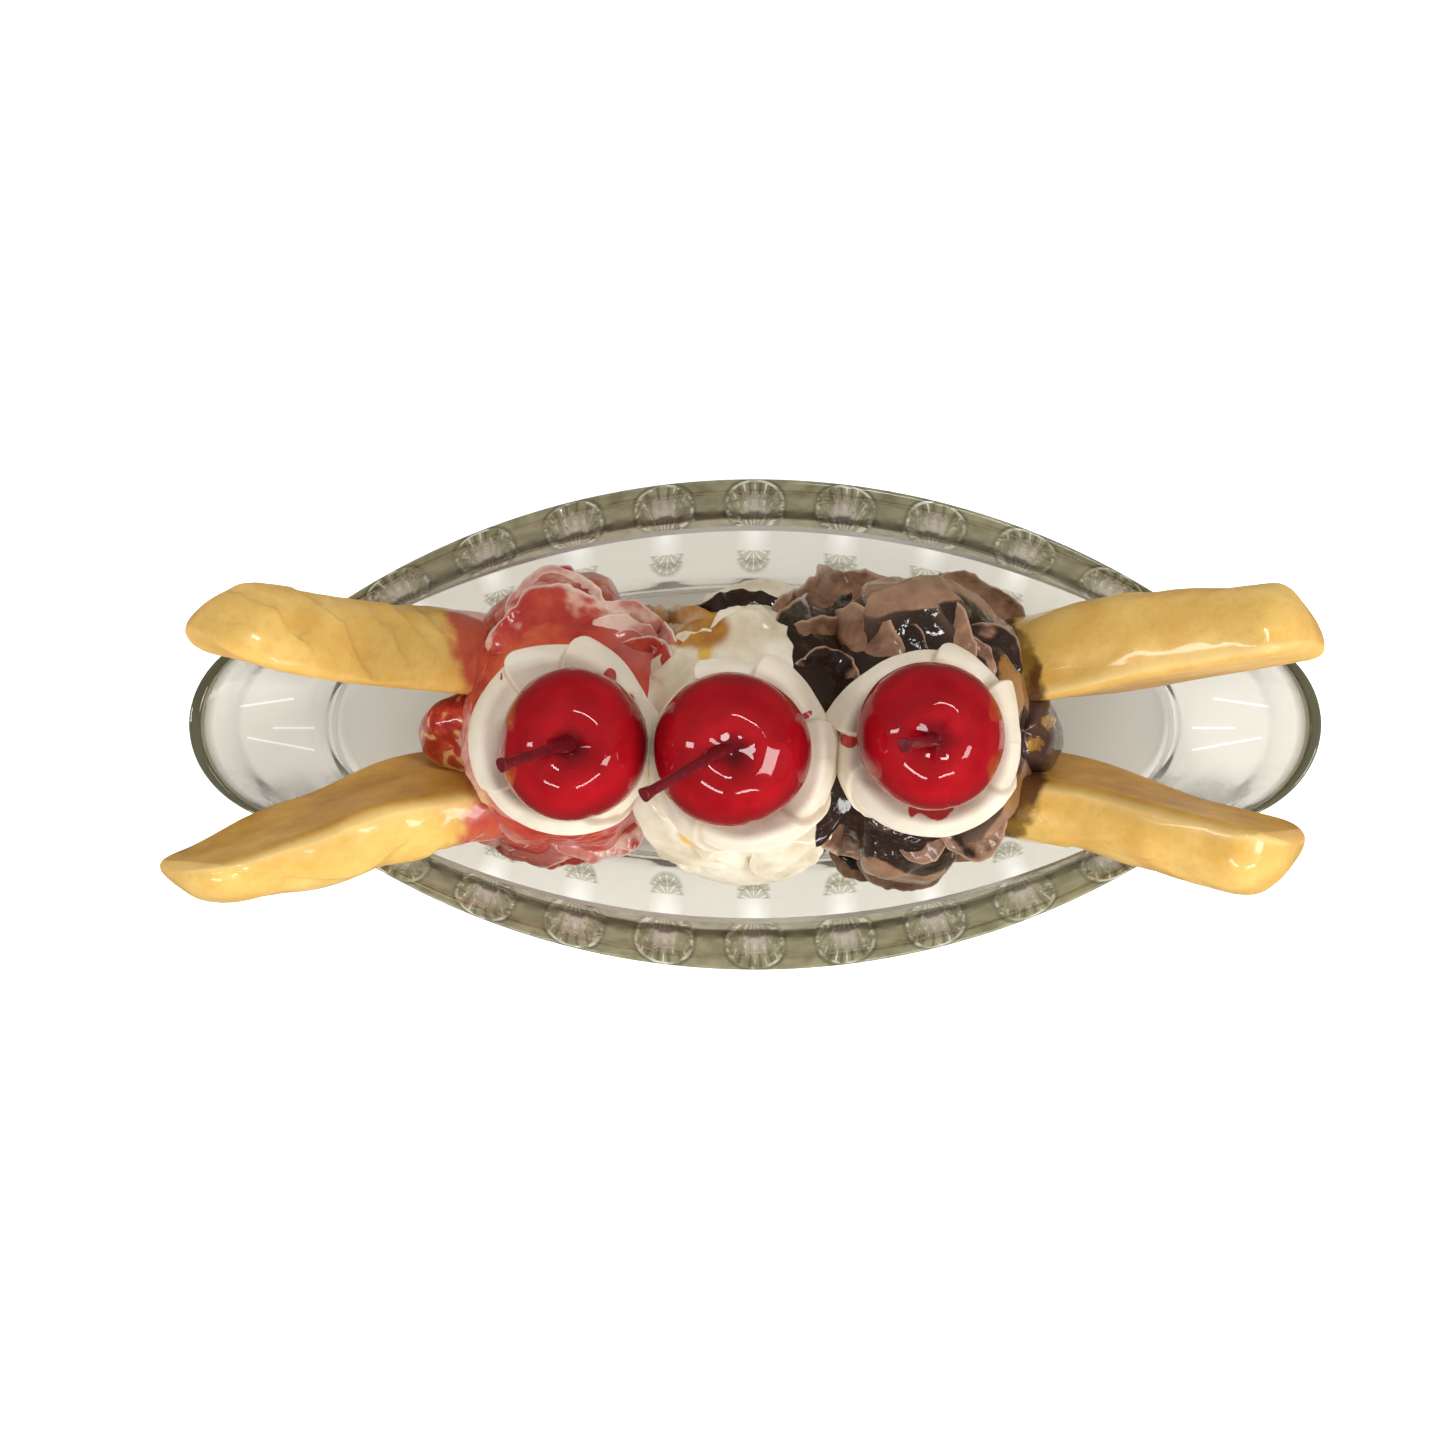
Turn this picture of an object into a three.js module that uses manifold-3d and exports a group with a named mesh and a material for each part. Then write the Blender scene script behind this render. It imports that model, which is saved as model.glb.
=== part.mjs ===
// A banana split made as a table display piece: two long banana halves lie along a pressed glass
// boat dish, three sculpted scoops sit on them, and each scoop carries a swirl of cream with a
// cherry and its stem. Millimetres, +Z up, length along X. The origin is the middle of the flat
// foot of the dish.
import * as THREE from 'three';
import { mergeVertices } from 'three/addons/utils/BufferGeometryUtils.js';
import Module from 'manifold-3d';

const wasm = await Module();
wasm.setup();

// Air left between two pieces that rest on each other, and the extra share of a ball's radius that
// its seat leaves, so that flat facets clear each other.
const GAP = 0.3;
const SEAT_ROOM = 1.03;

// Dish: half lengths, half widths and heights of its main lines.
const RIM_HEIGHT = 48;
const RIM_HALF_LENGTH = 108;
const RIM_HALF_WIDTH = 46.8;
const FOOT_HALF_LENGTH = 86.8;
const FOOT_HALF_WIDTH = 28.8;
// How far the foot draws in at its very bottom, and how much of that is left a little higher up.
const FOOT_ROUND = 2.8;
const FOOT_ROUND_HEIGHT = 1;
const FOOT_ROUND_LEFT = 0.8;
const FLOOR_HEIGHT = 7;
const FLOOR_HALF_LENGTH = 86;
const FLOOR_HALF_WIDTH = 28;
const LEDGE_HEIGHT = 32;
const LEDGE_HALF_LENGTH = 98.4;
const LEDGE_HALF_WIDTH = 38;
const LEDGE_STEP = 0.8;
// The outer wall runs straight from the foot to this shoulder, level with the ledge inside it.
const SHOULDER_HALF_LENGTH = 101.8;
const SHOULDER_HALF_WIDTH = 42;
const LIP_WALL = 2.4;
const LIP_ROUND = 0.8;

// The round noses at the two ends of the dish, at the rim and at the floor, and the angle on the
// nose at which the long side runs into it.
const NOSE_LENGTH_RIM = 23;
const NOSE_WIDTH_RIM = 19.2;
const NOSE_LENGTH_FLOOR = 15;
const NOSE_WIDTH_FLOOR = 15.5;
const NOSE_START = THREE.MathUtils.degToRad(68);
// How sharply the places along the side draw in toward the foot near the ends.
const DRAW_IN_POWER = 4;

// Points along one quarter of the outline, on the long side and on the nose.
const OUTSIDE_STEPS = [18, 5];
const INSIDE_STEPS = [10, 5];

// Upright flutes pressed into the outside of both long walls, each ending in a round arch.
const FLUTE_PITCH = 17.5;
const FLUTES_PER_QUARTER = 4.5;
const FLUTE_DEPTH = 0.9;
const FLUTE_BOTTOM = 3;
const FLUTE_TOP = 42;
const FLUTE_ARCH = 6;

// Banana halves, cut lengthwise and standing on edge with the cut faces inward.
const BANANA_HEIGHT = 27;
const BANANA_STEPS = 32;
const BANANA_SIDES = 16;
const BANANA_CUT_SIDES = 4;
const BANANA_SEAT = { steps: 16, sides: 10, room: 1.5 };
// Share of the length, from each tip, at which the first and last full section stands, and the
// share of the thickness at which the tip itself lies.
const END_SHARE = 0.006;
const TIP_DEPTH = 0.2;
// The cut face takes this share of the height, and the round back turns between these angles.
const CUT_FACE_SHARE = 0.92;
const BACK_TURN = 0.47 * Math.PI;
const BACK_EDGE = 0.1;
const BACK_POWER = 0.75;
// Distances from the middle between which the lean of the cut faces fades out.
const LEAN_FADE = [55, 80];
// How much thinner the round back is toward its lower edge.
const BACK_UNDERCUT = 0.4;
// How far the top edge leans out over the bottom edge in the middle: rear half (1), front half (-1).
const BANANA_LEAN = { 1: -1.5, [-1]: 4.5 };

// Scoops: how much the underside is flattened, and the height angle and spread of the skirt.
const SCOOP_ROWS = 16;
const SCOOP_COLUMNS = 32;
const SCOOP_UNDERSIDE = 0.85;
// How far an outer scoop is flattened toward the end of the dish, where the sauce begins.
const SCOOP_END_SHARE = 0.76;
const SKIRT_ELEVATION = -22;
const SKIRT_SPREAD = 13;
// Folds: how far each bows, how steep its free edge is, and the ranges of the seeded ones.
const FOLD_BOW = 0.35;
const FOLD_STEEPNESS = 4;
const FOLD_ELEVATIONS = [-28, 42];
const FOLD_HEADINGS = [-35, 35];
const FOLD_SIZES = [0.75, 1.25];
const FOLD_SCATTER = 0.6;
// Height angles between which the folds fade into the smooth crown under the cream.
const CROWN_START = 36;
const CROWN_SMOOTH = 50;
// Share of the radius, toward a neighbour, from which a scoop is pressed smooth.
const PRESSED_REACH = [0.3, 0.52];

// Cream swirls and cherries.
const CREAM_COLUMNS = 25;
const CREAM_PETALS = 5;
const CREAM_TWIST = 0.13;
const CREAM_PETAL_DEPTH = 0.12;
const CREAM_RADIUS = 17.4;
const CREAM_HALF_HEIGHT = 9;
const CREAM_PETAL_LIFT = 0.16;
const CREAM_SEAT = 0.7;
const CHERRY_DIMPLE_RADIUS = 5.5;
const CHERRY_DIMPLE_DEPTH = 3.6;
const CHERRY_SEGMENTS = 20;
const CHERRY_RINGS = 9;
const STEM_RADIUS = 1.05;
const STEM_SIDES = 7;
const STEM_STEPS = 6;
const STEM_BOW = 3;
const STEM_BOW_AT = 0.45;
const STEM_FOOT_FLARE = 0.55;
const STEM_TIP_FLARE = 0.3;

// Sauce lumps.
const SAUCE_ROWS = 7;
const SAUCE_COLUMNS = 14;
const SAUCE_WAVE = 0.07;

// Colours.
const COLOURS = {
  glass: 0xd9ddd0,
  banana: 0xe5b95c,
  strawberry: 0xd9534e,
  vanilla: 0xf0e9d2,
  chocolate: 0x7a5440,
  cream: 0xece2d0,
  cherry: 0xb3101f,
  stem: 0x5a1424,
  strawberrySauce: 0xc22a2c,
  chocolateSauce: 0x33201a,
};

const GLASS_LOOK = { roughness: 0.05, metalness: 0, transparent: true, opacity: 0.45 };
const GLAZED_LOOK = { roughness: 0.15, metalness: 0 };
const MATT_LOOK = { roughness: 0.7, metalness: 0 };

function seededRandom(seed) {
  let state = seed;
  return () => {
    state = (state + 0x6d2b79f5) | 0;
    let mixed = Math.imul(state ^ (state >>> 15), 1 | state);
    mixed = (mixed + Math.imul(mixed ^ (mixed >>> 7), 61 | mixed)) ^ mixed;
    return ((mixed ^ (mixed >>> 14)) >>> 0) / 4294967296;
  };
}

function between(low, high, share) {
  return low + (high - low) * share;
}

function eased(low, high, value) {
  const share = THREE.MathUtils.clamp((value - low) / (high - low), 0, 1);
  return share * share * (3 - 2 * share);
}

// A closed surface of rings: rings[i][j] are points, with one pole point below and one above.
// The rings run anticlockwise seen from above and climb from the bottom pole to the top pole.
function ringedGeometry(bottom, rings, top) {
  const columns = rings[0].length;
  const positions = [bottom, ...rings.flat(), top].flatMap((point) => [point.x, point.y, point.z]);
  const index = [];
  const corner = (row, column) => 1 + row * columns + (column % columns);
  const last = rings.length - 1;
  const topPole = 1 + rings.length * columns;
  for (let column = 0; column < columns; column += 1) {
    index.push(0, corner(0, column + 1), corner(0, column));
    for (let row = 0; row < last; row += 1) {
      const near = corner(row, column);
      const nearNext = corner(row, column + 1);
      const far = corner(row + 1, column);
      const farNext = corner(row + 1, column + 1);
      index.push(near, nearNext, farNext, near, farNext, far);
    }
    index.push(topPole, corner(last, column), corner(last, column + 1));
  }
  const geometry = new THREE.BufferGeometry();
  geometry.setAttribute('position', new THREE.Float32BufferAttribute(positions, 3));
  geometry.setIndex(index);
  return geometry;
}

function mergedPositions(source) {
  const geometry = source.clone();
  geometry.deleteAttribute('normal');
  geometry.deleteAttribute('uv');
  return mergeVertices(geometry, 1e-4);
}

function solidFrom(source) {
  const geometry = mergedPositions(source);
  return new wasm.Manifold(new wasm.Mesh({
    numProp: 3,
    vertProperties: new Float32Array(geometry.attributes.position.array),
    triVerts: new Uint32Array(geometry.index.array),
  }));
}

function geometryFrom(solid) {
  const mesh = solid.getMesh();
  const positions = new Float32Array(mesh.numVert * 3);
  for (let vertex = 0; vertex < mesh.numVert; vertex += 1) {
    for (let axis = 0; axis < 3; axis += 1) {
      positions[vertex * 3 + axis] = mesh.vertProperties[vertex * mesh.numProp + axis];
    }
  }
  const geometry = new THREE.BufferGeometry();
  geometry.setAttribute('position', new THREE.BufferAttribute(positions, 3));
  geometry.setIndex(new THREE.BufferAttribute(new Uint32Array(mesh.triVerts), 1));
  return geometry;
}

// The same solid with its skin pushed outward, used to cut a neighbour clear of it.
function grown(solid, distance) {
  const geometry = mergedPositions(geometryFrom(solid));
  geometry.computeVertexNormals();
  const position = geometry.attributes.position;
  const normal = geometry.attributes.normal;
  for (let vertex = 0; vertex < position.count; vertex += 1) {
    position.setXYZ(
      vertex,
      position.getX(vertex) + normal.getX(vertex) * distance,
      position.getY(vertex) + normal.getY(vertex) * distance,
      position.getZ(vertex) + normal.getZ(vertex) * distance,
    );
  }
  return solidFrom(geometry);
}

// Takes cutters out of a solid and keeps its main body.
function cutBy(solid, cutters) {
  const cut = cutters.reduce((left, cutter) => left.subtract(cutter), solid);
  return cut.decompose().sort((one, other) => other.volume() - one.volume())[0];
}

// Cuts a solid clear of its neighbours by the gap.
function cutClear(solid, neighbours) {
  return cutBy(solid, neighbours.map((neighbour) => grown(neighbour, GAP)));
}

// A plain ball that clears another ball, for seats that nothing shows of but their edge.
function seatCutter({ centre, radius }) {
  const ball = new THREE.SphereGeometry(radius * SEAT_ROOM + GAP, 16, 9);
  ball.rotateX(Math.PI / 2);
  return solidFrom(ball.translate(centre.x, centre.y, centre.z));
}

// ---- Dish ----

// One quarter of the dish outline at a level, from the middle of the long side to the tip of the
// nose, then mirrored round. The long side is one arc that ends where the nose begins.
function dishOutline(halfLength, halfWidth, sideSteps, noseSteps) {
  const reach = (halfLength - FLOOR_HALF_LENGTH) / (RIM_HALF_LENGTH - FLOOR_HALF_LENGTH);
  const noseLength = between(NOSE_LENGTH_FLOOR, NOSE_LENGTH_RIM, reach);
  const noseWidth = between(NOSE_WIDTH_FLOOR, NOSE_WIDTH_RIM, reach);
  const joint = halfLength - noseLength;
  const drop = halfWidth - noseWidth;
  const arcRadius = (joint * joint + drop * drop) / (2 * drop);
  const rimJoint = RIM_HALF_LENGTH - NOSE_LENGTH_RIM;
  const sideEnd = FLUTE_PITCH * FLUTES_PER_QUARTER;
  const quarter = [];
  for (let step = 0; step <= sideSteps; step += 1) {
    const rimX = (sideEnd * step) / sideSteps;
    const x = rimX - (rimJoint - joint) * (rimX / rimJoint) ** DRAW_IN_POWER;
    const y = halfWidth - arcRadius + Math.sqrt(arcRadius * arcRadius - x * x);
    quarter.push({ x, y, fluteX: rimX });
  }
  for (let step = 0; step <= noseSteps; step += 1) {
    const angle = NOSE_START * (1 - step / noseSteps);
    quarter.push({ x: joint + noseLength * Math.cos(angle), y: noseWidth * Math.sin(angle), fluteX: null });
  }
  const outline = [];
  const last = quarter.length - 1;
  for (let step = last; step > 0; step -= 1) {
    outline.push({ ...quarter[step] });
  }
  for (let step = 0; step < last; step += 1) {
    outline.push({ ...quarter[step], x: -quarter[step].x });
  }
  for (let step = last; step > 0; step -= 1) {
    outline.push({ ...quarter[step], x: -quarter[step].x, y: -quarter[step].y });
  }
  for (let step = 0; step < last; step += 1) {
    outline.push({ ...quarter[step], y: -quarter[step].y });
  }
  return outline;
}

// How far the outside is pressed in by a flute at a height: deepest along the middle of each
// flute, nothing on the ridges between them, and closed above by a round arch.
function fluteDepth(fluteX, height) {
  if (fluteX === null) {
    return 0;
  }
  const across = 2 * Math.abs(fluteX / FLUTE_PITCH - Math.round(fluteX / FLUTE_PITCH));
  const archTop = FLUTE_TOP - FLUTE_ARCH * (1 - Math.sqrt(Math.max(0, 1 - across * across)));
  const upper = 1 - eased(archTop - FLUTE_ARCH / 2, archTop, height);
  const lower = eased(FLUTE_BOTTOM, FLUTE_BOTTOM + FLUTE_ARCH, height);
  return FLUTE_DEPTH * (1 - across * across) * upper * lower;
}

function dishRings(profile, steps, fluted) {
  return profile.map(([height, halfLength, halfWidth]) => (
    dishOutline(halfLength, halfWidth, ...steps).map((point) => {
      const depth = fluted ? fluteDepth(point.fluteX, height) : 0;
      return new THREE.Vector3(point.x, point.y - Math.sign(point.y) * depth, height);
    })
  ));
}

function outerWall(height) {
  const below = Math.min(1, height / LEDGE_HEIGHT);
  const above = Math.max(0, (height - LEDGE_HEIGHT) / (RIM_HEIGHT - LEDGE_HEIGHT));
  return [
    height,
    between(between(FOOT_HALF_LENGTH, SHOULDER_HALF_LENGTH, below), RIM_HALF_LENGTH, above),
    between(between(FOOT_HALF_WIDTH, SHOULDER_HALF_WIDTH, below), RIM_HALF_WIDTH, above),
  ];
}

function makeDish() {
  const wallHeights = [5, 14, 26, LEDGE_HEIGHT, 37, 41];
  const outside = [
    [0, FOOT_HALF_LENGTH - FOOT_ROUND, FOOT_HALF_WIDTH - FOOT_ROUND],
    [FOOT_ROUND_HEIGHT, FOOT_HALF_LENGTH - FOOT_ROUND_LEFT, FOOT_HALF_WIDTH - FOOT_ROUND_LEFT],
    ...wallHeights.map(outerWall),
    [RIM_HEIGHT - LIP_ROUND, RIM_HALF_LENGTH, RIM_HALF_WIDTH],
    [RIM_HEIGHT, RIM_HALF_LENGTH - LIP_ROUND, RIM_HALF_WIDTH - LIP_ROUND],
  ];
  const lip = RIM_HALF_LENGTH - LIP_WALL;
  const lipWide = RIM_HALF_WIDTH - LIP_WALL;
  const inside = [
    [FLOOR_HEIGHT, FLOOR_HALF_LENGTH - 2, FLOOR_HALF_WIDTH - 2],
    [FLOOR_HEIGHT + 1, FLOOR_HALF_LENGTH, FLOOR_HALF_WIDTH],
    [FLOOR_HEIGHT + 5, FLOOR_HALF_LENGTH + 2.8, FLOOR_HALF_WIDTH + 2],
    [FLOOR_HEIGHT + 14, FLOOR_HALF_LENGTH + 7, FLOOR_HALF_WIDTH + 5.7],
    [LEDGE_HEIGHT, LEDGE_HALF_LENGTH, LEDGE_HALF_WIDTH],
    [LEDGE_HEIGHT + 0.4, LEDGE_HALF_LENGTH + 0.2, LEDGE_HALF_WIDTH + LEDGE_STEP],
    [RIM_HEIGHT - 2, lip - 0.5, lipWide - 0.4],
    [RIM_HEIGHT - LIP_ROUND, lip, lipWide],
    [RIM_HEIGHT + LIP_ROUND, lip + 2 * LIP_ROUND, lipWide + 2 * LIP_ROUND],
  ];
  const outsideSolid = solidFrom(ringedGeometry(
    new THREE.Vector3(0, 0, 0),
    dishRings(outside, OUTSIDE_STEPS, true),
    new THREE.Vector3(0, 0, RIM_HEIGHT),
  ));
  const insideSolid = solidFrom(ringedGeometry(
    new THREE.Vector3(0, 0, FLOOR_HEIGHT),
    dishRings(inside, INSIDE_STEPS, false),
    new THREE.Vector3(0, 0, RIM_HEIGHT + LIP_ROUND),
  ));
  return outsideSolid.subtract(insideSolid);
}

// ---- Banana halves ----

// The middle of the cut face from end to end. Both halves rest on the dish floor in the middle
// and climb over the rim at both ends.
const BANANAS = {
  rear: {
    outward: 1,
    spine: [
      [-104, 15.5, 72.5], [-98, 12.6, 68.5], [-81, 9.2, 56], [-60, 6.8, 42.6], [-35, 4.6, 29.5],
      [0, 4.2, 21.9], [35, 4.2, 29.5], [60, 5.2, 42.6], [81, 9.2, 56], [96, 11.9, 67], [101, 12.6, 70.2],
    ],
    thickness: [16, 13.6],
    start: { height: 13, back: 14, backPower: 0.5 },
    end: { height: 6, back: 7, backPower: 0.5 },
  },
  front: {
    outward: -1,
    spine: [
      [-107.5, -26.2, 76], [-98, -22.8, 68.6], [-81, -15.2, 56], [-60, -8.6, 42.6], [-35, -5.4, 29.5],
      [0, -5.2, 21.9], [35, -5.4, 29.5], [60, -8.6, 42.6], [81, -14.8, 56],
      [94, -18.2, 65.6], [99.5, -19.4, 69],
    ],
    thickness: [14.4, 14.4],
    start: { height: 14, back: 29, backPower: 0.75 },
    end: { height: 7, back: 11, backPower: 0.5 },
  },
};

// The D section as shares of the height and the thickness: up the flat cut face, then down the
// round back.
function bananaSection(sides) {
  const section = [];
  for (let step = 0; step <= BANANA_CUT_SIDES; step += 1) {
    section.push([CUT_FACE_SHARE * (step / BANANA_CUT_SIDES - 0.5), 0]);
  }
  const backSides = sides - BANANA_CUT_SIDES - 2;
  for (let step = 0; step <= backSides; step += 1) {
    const angle = between(BACK_TURN, -BACK_TURN, step / backSides);
    const fullness = 1 - BACK_UNDERCUT * Math.max(0, -Math.sin(angle));
    const back = BACK_EDGE + (1 - BACK_EDGE) * fullness * Math.cos(angle) ** BACK_POWER;
    section.push([0.5 * Math.sin(angle), back]);
  }
  return section;
}

// How full the section still is at a distance from a tip that rounds off over a length.
function roundedOff(distance, length, power) {
  const left = Math.max(0, 1 - distance / length);
  return (1 - left * left) ** power;
}

function makeBananaHalf(banana, steps, sides) {
  const { outward, spine, thickness, start, end } = banana;
  const curve = new THREE.CatmullRomCurve3(spine.map((point) => new THREE.Vector3(...point)));
  const length = curve.getLength();
  const section = bananaSection(sides);
  const rings = [];
  for (let step = 1; step < steps; step += 1) {
    const share = between(END_SHARE, 1 - END_SHARE, (step - 1) / (steps - 2));
    const fromStart = share * length;
    const fromEnd = length - fromStart;
    const tall = roundedOff(fromStart, start.height, 0.5) * roundedOff(fromEnd, end.height, 0.5);
    const startBack = roundedOff(fromStart, start.back, start.backPower);
    const thick = startBack * roundedOff(fromEnd, end.back, end.backPower);
    const point = curve.getPointAt(share);
    const along = curve.getTangentAt(share);
    const out = new THREE.Vector3(0, outward, 0).projectOnPlane(along).normalize();
    const up = new THREE.Vector3().crossVectors(along, out).multiplyScalar(outward);
    const lean = BANANA_LEAN[outward] * (1 - eased(...LEAN_FADE, Math.abs(point.x)));
    const upright = up.multiplyScalar(BANANA_HEIGHT).addScaledVector(out, lean);
    const depthHere = between(thickness[0], thickness[1], share);
    const ring = section.map(([rise, depth]) => (
      point.clone()
        .addScaledVector(upright, rise * tall)
        .addScaledVector(out, (TIP_DEPTH + (depth - TIP_DEPTH) * thick) * depthHere)
    ));
    rings.push(outward > 0 ? ring.reverse() : ring);
  }
  const tipAt = (share) => (
    curve.getPointAt(share).add(new THREE.Vector3(0, outward * TIP_DEPTH * thickness[share], 0))
  );
  return ringedGeometry(tipAt(0), rings, tipAt(1));
}

// A plainer, slightly larger copy of a banana half that hollows out what lies over it.
function bananaCutter(banana) {
  const { steps, sides, room } = BANANA_SEAT;
  return grown(solidFrom(makeBananaHalf(banana, steps, sides)), room);
}

// ---- Scoops ----

// Each ball of ice cream: its folds are spread round it by a seeded rule, and the big folds are
// placed by turn, height angle, heading, length, width and height.
const SCOOPS = {
  strawberry: {
    centre: new THREE.Vector3(-37, 1.5, 43),
    radius: 24.6,
    seed: 11,
    foldCount: 11,
    foldLength: 24,
    foldWidth: 9,
    foldDepth: 3,
    ruffles: 9,
    ruffleDepth: 1.6,
    bigFolds: [[95, 8, 10, 16, 8, 4], [-128, -14, 0, 26, 10, 6]],
    pressedAt: [1],
  },
  vanilla: {
    centre: new THREE.Vector3(-1.5, -2, 43),
    radius: 26,
    seed: 23,
    foldCount: 10,
    foldLength: 26,
    foldWidth: 9,
    foldDepth: 2.8,
    ruffles: 8,
    ruffleDepth: 1.8,
    bigFolds: [[-75, -18, 0, 20, 9, 3.4]],
    pressedAt: [],
  },
  chocolate: {
    centre: new THREE.Vector3(31.5, -0.7, 43),
    radius: 24.6,
    seed: 37,
    foldCount: 12,
    foldLength: 30,
    foldWidth: 10,
    foldDepth: 4.4,
    ruffles: 7,
    ruffleDepth: 1.5,
    bigFolds: [[112, 10, 25, 28, 11, 5.4], [66, 6, -20, 28, 10, 5], [-95, -4, 8, 26, 10, 5]],
    pressedAt: [-1],
  },
};

// What stands on each scoop, from left to right.
const SERVINGS = [
  {
    place: 'left',
    cream: { centre: new THREE.Vector3(-35, -2.5, 73.5), turn: 0 },
    cherry: { centre: new THREE.Vector3(-32.6, -3.6, 88), radius: 13.4 },
    stem: { base: new THREE.Vector3(-32.4, -3.2, 96.5), tip: new THREE.Vector3(-43.6, -6.8, 112) },
  },
  {
    place: 'middle',
    cream: { centre: new THREE.Vector3(-2.7, -5.9, 75), turn: 140 },
    cherry: { centre: new THREE.Vector3(-4.6, -4.4, 91), radius: 13.8 },
    stem: { base: new THREE.Vector3(-5.6, -4, 99.8), tip: new THREE.Vector3(-19.5, -11.8, 115) },
  },
  {
    place: 'right',
    cream: { centre: new THREE.Vector3(30.9, -3.2, 73.5), turn: 250 },
    cherry: { centre: new THREE.Vector3(30.6, -2, 88), radius: 13.2 },
    stem: { base: new THREE.Vector3(30.8, -2.6, 96.3), tip: new THREE.Vector3(24.3, -3.4, 115.5) },
  },
];

const SAUCES = {
  sauce_strawberry: {
    centre: new THREE.Vector3(-53, -1.5, 41),
    reach: new THREE.Vector3(11, 9.5, 13),
    seed: 5,
    colour: COLOURS.strawberrySauce,
  },
  sauce_chocolate: {
    centre: new THREE.Vector3(50.5, -1.2, 41),
    reach: new THREE.Vector3(9, 9, 13),
    seed: 6,
    colour: COLOURS.chocolateSauce,
  },
};

// A point on the unit ball from its turn about the upright and its height angle, in degrees.
function onBall(azimuth, elevation) {
  const turn = THREE.MathUtils.degToRad(azimuth);
  const lift = THREE.MathUtils.degToRad(elevation);
  const flat = Math.cos(lift);
  return new THREE.Vector3(flat * Math.cos(turn), flat * Math.sin(turn), Math.sin(lift));
}

// A fold of ice cream on the ball: a curled flake with one steep edge, running along its heading.
function makeFold(azimuth, elevation, heading, length, width, height) {
  const centre = onBall(azimuth, elevation);
  const east = new THREE.Vector3(-centre.y, centre.x, 0).normalize();
  const north = new THREE.Vector3().crossVectors(centre, east);
  const turn = THREE.MathUtils.degToRad(heading);
  const along = east.clone().multiplyScalar(Math.cos(turn)).addScaledVector(north, Math.sin(turn));
  const across = new THREE.Vector3().crossVectors(centre, along);
  return { centre, along, across, length, width, height };
}

function foldHeight(direction, radius, fold) {
  if (direction.dot(fold.centre) < 0) {
    return 0;
  }
  const along = (direction.dot(fold.along) * radius) / (fold.length / 2);
  const bow = FOLD_BOW * fold.width * along * along;
  const across = (direction.dot(fold.across) * radius + bow) / fold.width;
  const ends = Math.max(0, 1 - along * along);
  const slope = across < 0 ? Math.max(0, 1 + across * FOLD_STEEPNESS) : Math.max(0, 1 - across);
  return fold.height * Math.sqrt(ends) * slope;
}

function seededFolds({ seed, foldCount, foldLength, foldWidth, foldDepth }) {
  const random = seededRandom(seed);
  const folds = [];
  for (let index = 0; index < foldCount; index += 1) {
    const azimuth = (360 * (index + FOLD_SCATTER * random())) / foldCount;
    const elevation = between(...FOLD_ELEVATIONS, random());
    const heading = between(...FOLD_HEADINGS, random());
    const size = between(...FOLD_SIZES, random());
    folds.push(makeFold(azimuth, elevation, heading, foldLength * size, foldWidth * size, foldDepth * size));
  }
  return folds;
}

function makeScoop(scoop) {
  const { centre, radius, ruffles, ruffleDepth } = scoop;
  const folds = [...seededFolds(scoop), ...scoop.bigFolds.map((fold) => makeFold(...fold))];
  const point = (azimuth, elevation) => {
    const direction = onBall(azimuth, elevation);
    const nearness = scoop.pressedAt.map((side) => eased(...PRESSED_REACH, side * direction.x));
    const pressed = Math.max(0, ...nearness);
    const foldShare = (1 - pressed) * (1 - eased(CROWN_START, CROWN_SMOOTH, elevation));
    const fold = foldShare * Math.max(0, ...folds.map((each) => foldHeight(direction, radius, each)));
    const skirt = Math.exp(-(((elevation - SKIRT_ELEVATION) / SKIRT_SPREAD) ** 2));
    const wave = (1 - pressed) * (0.5 + 0.5 * Math.sin(THREE.MathUtils.degToRad(azimuth * ruffles)));
    const reach = radius + fold + skirt * ruffleDepth * wave;
    const facesEnd = scoop.pressedAt.some((side) => side * direction.x < 0);
    const long = facesEnd ? SCOOP_END_SHARE : 1;
    const flat = direction.z < 0 ? SCOOP_UNDERSIDE : 1;
    return direction.multiplyScalar(reach).multiply(new THREE.Vector3(long, 1, flat)).add(centre);
  };
  const rings = [];
  for (let row = 1; row < SCOOP_ROWS; row += 1) {
    const elevation = between(-90, 90, row / SCOOP_ROWS);
    const ring = [];
    for (let column = 0; column < SCOOP_COLUMNS; column += 1) {
      ring.push(point((360 * (column + (row % 2) / 2)) / SCOOP_COLUMNS, elevation));
    }
    rings.push(ring);
  }
  return ringedGeometry(point(0, -90), rings, point(0, 90));
}

// ---- Cream, cherries, stems and sauce ----

// Share of the radius and of the half height up the outside of a swirl, over its lip, and down
// into the seat of the cherry.
const CREAM_PROFILE = [
  [0.72, -0.95], [0.93, -0.55], [1.0, -0.05], [0.99, 0.4], [0.93, 0.78],
  [0.84, 0.97], [0.72, 0.9], [0.4, 0.75],
];

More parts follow.
